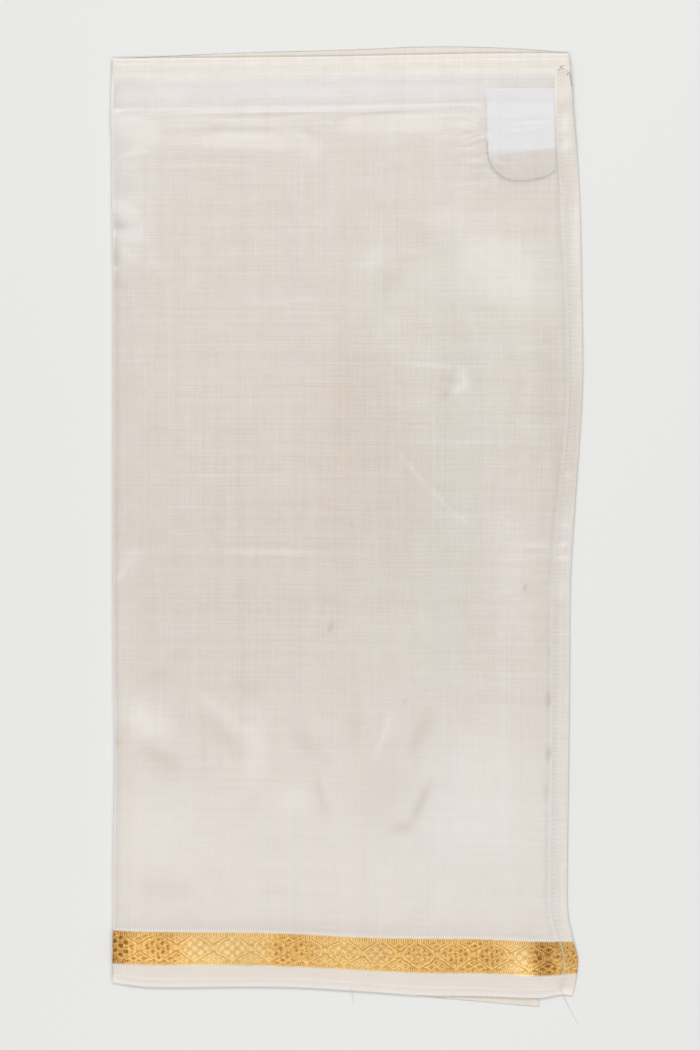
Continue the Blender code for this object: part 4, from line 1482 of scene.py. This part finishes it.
UNDER_STRIPS = table(
    "name node slot top foot rows turned_top turned_foot material first_v length",
    (
        "under_hem_cloth", "under_hem", "hem_silk", under_top, under_hem_foot,
        6, True, False, hem_silk, -TOP_HEM, TOP_HEM,
    ),
    (
        "under_silk_ground", "under_ground", "silk", under_hem_foot, under_border_top,
        60, False, False, under_silk, 0, GROUND_LENGTH,
    ),
    (
        "under_zari_band", "under_border", "zari", under_border_top, under_selvedge_top,
        54, False, False, zari, GROUND_LENGTH, BORDER_WIDTH,
    ),
    (
        "under_plain_selvedge", "under_selvedge", "silk", under_selvedge_top, under_foot,
        8, False, True, hem_silk, GROUND_LENGTH + BORDER_WIDTH, SELVEDGE_WIDTH,
    ),
)
under_pieces = {strip.name: under_strip(strip) for strip in UNDER_STRIPS}
for strip in UNDER_STRIPS:
    stands_for(under_pieces[strip.name], strip.slot, strip.node)
weave_colours(under_pieces["under_zari_band"], GROUND_LENGTH)

# %% [markdown]
# ## The care label
# The label is sewn to a deeper layer and lies just below the upper stretch, so it shows through as a paler
# patch. It is a white satin tape, left bare, whose upper edge is folded over to a double strip. Its free end
# is a rounded flap, and the shadow line along its curved edge is painted with a dark thread. The parts are
# small sheets that follow the cloth above them.

# %% Care label
LABEL_WALL = 0.25
LABEL_ROWS = 24
LABEL_FLAP_ROWS = 14
LABEL_COLUMNS = 28
LABEL_FOLD_ROWS = 6
LABEL_FOLD = 9.2
LABEL_FOLD_IN = 1.6
TAPE_FOOT_LEFT = 68.5
TAPE_FOOT_RIGHT = 62.8
FLAP_UNDERLAP = 4.0
TAPE_DEPTH = 0.7
LABEL_FOLD_DEPTH = 0.42
FLAP_DEPTH = 1.0
RIM_DEPTH = 0.8
RIM_THICK = 0.9
RIM_POINTS = 24
RIM_CORNER_POINTS = 4
RIM_START = 58.0
RIM_IN = 0.3
RIM_BEND = 0.8
RIM_ABOVE = 0.2
FLAP_EDGE = table(
    "along down",
    (254.7, 65.0), (255.8, 70.7), (258.7, 76.4), (262.8, 81.0), (268.9, 84.3), (277.1, 85.5),
    (287.3, 84.3), (296.1, 81.8), (302.0, 77.8),
)
flap_edge = column_curve(FLAP_EDGE, "along", "down")
label_white = plain("label_satin", (0.90, 0.92, 1.0), 0.35)
label_lilac = plain("label_fold_satin", (0.80, 0.81, 0.92), 0.35)
flap_grey = plain("label_flap", (0.78, 0.71, 0.65), 0.5)
rim_shadow_thread = plain("painted_rim_shadow", (0.10, 0.10, 0.14), 0.6)


def tape_foot(along):
    """The tape's lower end, which is cut a little askew."""
    return mix(TAPE_FOOT_LEFT, TAPE_FOOT_RIGHT, (along - LABEL_LEFT) / (LABEL_RIGHT - LABEL_LEFT))


def label_fold_foot(along):
    return LABEL_TOP + LABEL_FOLD + 0 * along


def label_piece(name, top, foot_of, rows, depth, material):
    """A part of the label that follows the upper stretch, depth millimetres below its outer face."""
    along = stations((LABEL_LEFT, LABEL_RIGHT, LABEL_COLUMNS))[None, :]
    down = mix(top, foot_of(along), even(rows)[:, None])
    along = along + 0 * down
    points = placed(along, down, upper_surface(along, down) - depth)
    return cloth_grid(name, points, along, down, LABEL_WALL, material)


label = label_piece("care_label_tape", LABEL_TOP, tape_foot, LABEL_ROWS, TAPE_DEPTH, label_white)
stands_for(label, "label_satin", "care_label")
label_fold = label_piece(
    "care_label_fold", LABEL_TOP + LABEL_FOLD_IN, label_fold_foot,
    LABEL_FOLD_ROWS, LABEL_FOLD_DEPTH, label_lilac,
)
stands_for(label_fold, "label_satin")
flap_top = TAPE_FOOT_RIGHT - FLAP_UNDERLAP
flap = label_piece("care_label_flap", flap_top, flap_edge, LABEL_FLAP_ROWS, FLAP_DEPTH, flap_grey)
stands_for(flap, "label_satin")

# %% Rim of the label
def thread_curve(name, places, thickness, material):
    """A thread along points in millimetres, smooth and round."""
    curve = bpy.data.curves.new(name, "CURVE")
    curve.dimensions = "3D"
    curve.bevel_depth = thickness / 2 * MM
    curve.bevel_resolution = 2
    curve.use_fill_caps = True
    line = curve.splines.new("NURBS")
    line.points.add(len(places) - 1)
    for point, place in zip(line.points, places):
        point.co = (*(place * MM), 1)
    line.use_endpoint_u = True
    line.order_u = 4
    line.resolution_u = 6
    curve.materials.append(material)
    return in_scene(name, curve)


# A painted shadow: a dark thread laid along the flap's curved edge, where its shadow line falls
corner_along = np.full(RIM_CORNER_POINTS, LABEL_LEFT + RIM_IN)
corner_down = np.linspace(RIM_START, FLAP_EDGE[0].down, RIM_CORNER_POINTS)
round_along = np.linspace(LABEL_LEFT + RIM_BEND, LABEL_RIGHT, RIM_POINTS)
rim_along = np.concatenate([corner_along, round_along])
rim_down = np.concatenate([corner_down, flap_edge(round_along) - RIM_ABOVE])
rim_height = upper_surface(rim_along, rim_down) - RIM_DEPTH
label_rim = thread_curve("care_label_rim", placed(rim_along, rim_down, rim_height), RIM_THICK, rim_shadow_thread)
stands_for(label_rim, "label_satin")
print("the rim runs through", len(rim_along), "points")

# %% [markdown]
# ## Loose ends
# The hems' threads end at the two right corners. At the top two short turns of rust-coloured thread are
# crossed in a knot, with a pale and a brown end beside it. At the foot a long end hangs out onto the
# surface, and a short one has slipped out at the middle. Each is drawn through a few points, as a thread is
# laid.

# %% Knot and loose threads
RUST = (0.50, 0.29, 0.19)
BROWN = (0.30, 0.20, 0.12)
PALE = (0.74, 0.70, 0.64)
THREAD_ENDS = table(
    "name thickness colour places",
    ("seam_thread", 0.4, PALE, (
        (304.3, 601.8), (305.7, 605.9), (307.0, 611.3), (307.4, 618.1), (306.7, 624.2),
    )),
    ("knot_over", 0.4, RUST, ((303.6, 10.0), (304.2, 8.9), (305.3, 7.6), (306.2, 6.4), (307.2, 6.9))),
    ("knot_under", 0.35, RUST, ((304.2, 6.8), (304.7, 7.6), (305.6, 8.4), (306.5, 9.2), (307.0, 8.4))),
    ("knot_end", 0.3, PALE, ((303.0, 11.0), (304.8, 11.9), (306.8, 11.7), (308.6, 10.7), (309.9, 9.9))),
    ("corner_thread", 0.35, BROWN, (
        (308.9, 13.2), (309.5, 12.0), (310.6, 11.3), (311.2, 12.6), (311.5, 15.0), (312.0, 18.0),
        (312.4, 21.0),
    )),
    ("loose_thread", 0.35, PALE, (
        (304.2, 630.0), (305.4, 634.5), (306.6, 639.0), (309.0, 643.5), (311.8, 648.5), (314.0, 653.0),
        (316.4, 657.2),
    )),
    ("foot_thread", 0.3, PALE, (
        (161.8, 632.0), (162.4, 635.0), (163.6, 639.0), (163.9, 642.5), (164.6, 645.5),
    )),
)
THREAD_ABOVE = 0.1
THREAD_ON_FLOOR = 0.2
THREAD_FALL = 6.0


def thread_places(end):
    """A thread lies on the cloth, and past the foot it sinks to the surface."""
    along, down = (np.array(part, float) for part in zip(*end.places))
    past = down - foot_edge(along)
    cloth = np.where(past > 0, upper_surface(along, foot_edge(along)), upper_surface(along, down))
    return placed(along, down, mix(cloth + THREAD_ABOVE, THREAD_ON_FLOOR, ease(0, THREAD_FALL, past)))


for end in THREAD_ENDS:
    piece = thread_curve(end.name, thread_places(end), end.thickness, plain(end.name, end.colour, 0.7))
    stands_for(piece, "hem_silk")
print(len(THREAD_ENDS), "ends of thread")

# %% [markdown]
# ## The cut of the cloth
# Each stretch of cloth prints the size it was cut to, before it was folded, measured on its map. The hems,
# the border and the selvedge are woven or sewn to their ground. The layers in the middle are one piece of
# cloth, folded to and fro, so its flat width is that of all its runs together.

# %% Sheets
def flat_size(piece):
    """Width and length in metres, measured on the piece's map."""
    size = np.ptp(map_places(piece.data).reshape(-1, 2), axis=0)
    return round(float(size[0]), 3), round(float(size[1]), 3)


def declare(piece):
    flat = flat_size(piece)
    print(piece.name, "is cut", round(flat[0] / MM), "by", round(flat[1] / MM), "mm")


declare(ground)
declare(upper_hem)
declare(side_hem)
declare(border)
declare(selvedge)
declare(layers)
for piece in under_pieces.values():
    declare(piece)
declare(label)
declare(flap)
